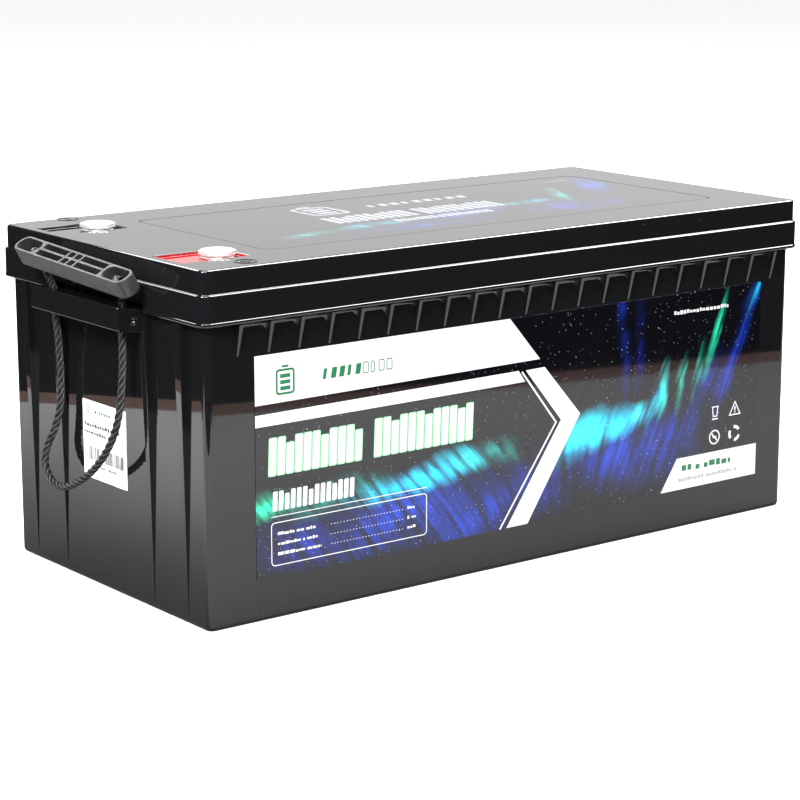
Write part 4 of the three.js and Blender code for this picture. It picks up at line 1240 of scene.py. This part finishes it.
INNER_LOOKS = {
    RUBBER: ["lid_gasket", "positive_post_seal", "negative_post_seal", "sense_harness", "base_pad"],
    NICKEL: ["positive_post_nut", "negative_post_nut", "negative_output_screw", "positive_output_screw"],
    SHRINK_FILM: ["cell_1", "cell_2", "cell_3", "cell_4"],
    FOAM: ["cell_pad_1", "cell_pad_2", "cell_pad_3", "foam_block_left", "foam_block_right"],
    GLASS_BOARD: ["pack_board_left", "pack_board_right"],
    STRAPPING: ["pack_strap_1", "pack_strap_2"],
    ALUMINIUM: ["busbar_1", "busbar_2", "busbar_3", "bms_heat_plate"],
    COPPER: ["negative_output_tab", "positive_output_tab"],
    RED_JACKET: ["positive_cable"],
    BLACK_JACKET: ["pack_negative_cable", "negative_output_cable"],
    CIRCUIT_BOARD: ["bms_board"],
}
for look, names in INNER_LOOKS.items():
    for name in names:
        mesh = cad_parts[name].data
        mesh.materials.clear()
        mesh.materials.append(look)

# --- Stage ---

# The near floor ends along two lines that lie askew of the battery, each with a brown edge beyond it.
LEFT_EDGE_LINE = [Vector((-1001, -120)), Vector((300, 1546))]
FRONT_EDGE_LINE = [Vector((-250, -703)), Vector((1500, -289))]
EDGE_BAND = 42
FAR = 12000


def stage_look(name, color, roughness=0.9):
    return Look(name, color, roughness, specular=0.0)


def reflected_floor():
    """The floor as the battery's faces reflect it, with painted shadow: darker where the battery stands in
    its own light.
    """
    look = stage_look("reflected_floor", (0.4, 0.4, 0.4), 1.0)
    place = look.node("TexCoord", output="Object")
    x, y = (look.node("SeparateXYZ", output=axis, Vector=place) for axis in (0, 1))
    # Painted shadow: the colour is darker near the battery's -X end and near its front, and in front it also
    # darkens towards +X.
    beside = look.ramp(x, -HALF_X * MM, -0.56, 0.14, 0.52)
    fading = look.ramp(x, 0.25, 0.8, 1.0, 0.7)
    before = look.sum("MULTIPLY", look.ramp(y, -HALF_Y * MM, -0.56, 0.32, 0.42), fading)
    in_front = look.sum("LESS_THAN", y, -HALF_Y * MM)
    tone = look.sum("ADD", look.sum("MULTIPLY", in_front, before),
                    look.sum("MULTIPLY", look.sum("SUBTRACT", 1.0, in_front), beside))
    look.feed("Base Color", look.node("CombineColor", Red=tone, Green=tone, Blue=tone))
    return look


def staged_plane(name, look, corners, z, unseen_by):
    """A level plane that some kinds of ray pass by."""
    mesh = bpy.data.meshes.new(name)
    mesh.from_pydata([(x * MM, y * MM, z * MM) for x, y in corners], [], [range(len(corners))])
    mesh.materials.append(look.material)
    made = in_scene(name, mesh)
    for kind in unseen_by:
        setattr(made, f"visible_{kind}", False)


def area_light(name, place, target, size, power):
    """A soft panel that the camera doesn't see."""
    data = bpy.data.lights.new(name, "AREA")
    data.shape = "RECTANGLE"
    data.size, data.size_y = size[0] * MM, size[1] * MM
    data.energy = power
    light = in_scene(name, data)
    aim(light, place, Vector(target) - Vector(place))
    light.visible_camera = False
    return light


def studio_world():
    """White all round, except that mirror reflections see it nearly black."""
    world = bpy.data.worlds.new("studio")
    world.use_nodes = True
    bpy.context.scene.world = world
    nodes, links = world.node_tree.nodes, world.node_tree.links
    nodes.clear()
    chooser = nodes.new("ShaderNodeMixShader")
    links.new(nodes.new("ShaderNodeLightPath").outputs["Is Glossy Ray"], chooser.inputs[0])
    for index, strength in ((1, 1.0), (2, 0.02)):
        sky = nodes.new("ShaderNodeBackground")
        sky.inputs["Color"].default_value = (1, 1, 1, 1)
        sky.inputs["Strength"].default_value = strength
        links.new(sky.outputs[0], chooser.inputs[index])
    links.new(chooser.outputs[0], nodes.new("ShaderNodeOutputWorld").inputs["Surface"])


# The eye sees a wide white floor. Reflections and bounced light see the near floor just under it instead.
staged_plane("white_floor", stage_look("white_floor", (0.9, 0.9, 0.9)),
             [(-FAR, -FAR), (FAR, -FAR), (FAR, FAR), (-FAR, FAR)], 0.1, ("glossy", "shadow", "diffuse"))
staged_plane("near_floor", reflected_floor(), [*FRONT_EDGE_LINE, (1500, 1546), *LEFT_EDGE_LINE[::-1]], 0,
             ("camera",))
table_edge = stage_look("table_edge", (0.2, 0.13, 0.11))
for name, (a, b), outward in (("left_table_edge", LEFT_EDGE_LINE, (-0.788, 0.615)),
                              ("front_table_edge", FRONT_EDGE_LINE, (0.23, -0.973))):
    step = Vector(outward) * EDGE_BAND
    staged_plane(name, table_edge, [a, b, b + step, a + step], 0, ("camera", "shadow", "diffuse"))

area_light("overhead", (0, -100, 1900), (0, 0, 0), (1500, 1500), 62)
area_light("behind", (1500, 2100, 800), (0, 0, 230), (5200, 1500), 25)
area_light("front_fill", (-1200, -2200, 1800), (0, 0, 100), (1200, 1200), 60)
area_light("edge_right", (1300, 0, 1900), (0, 0, 230), (600, 1600), 40)
area_light("edge_back", (-300, 2200, 1900), (0, 0, 230), (1600, 500), 36)
area_light("edge_glint", (1300, -420, 1900), (0, 0, 230), (1000, 1500), 150).visible_diffuse = False
area_light("key_left", (-1500, -700, 1300), (-270, 0, 130), (420, 420), 60)
studio_world()

view = bpy.context.scene.view_settings
view.view_transform = "Standard"
view.look = "None"
view.exposure = 0.0
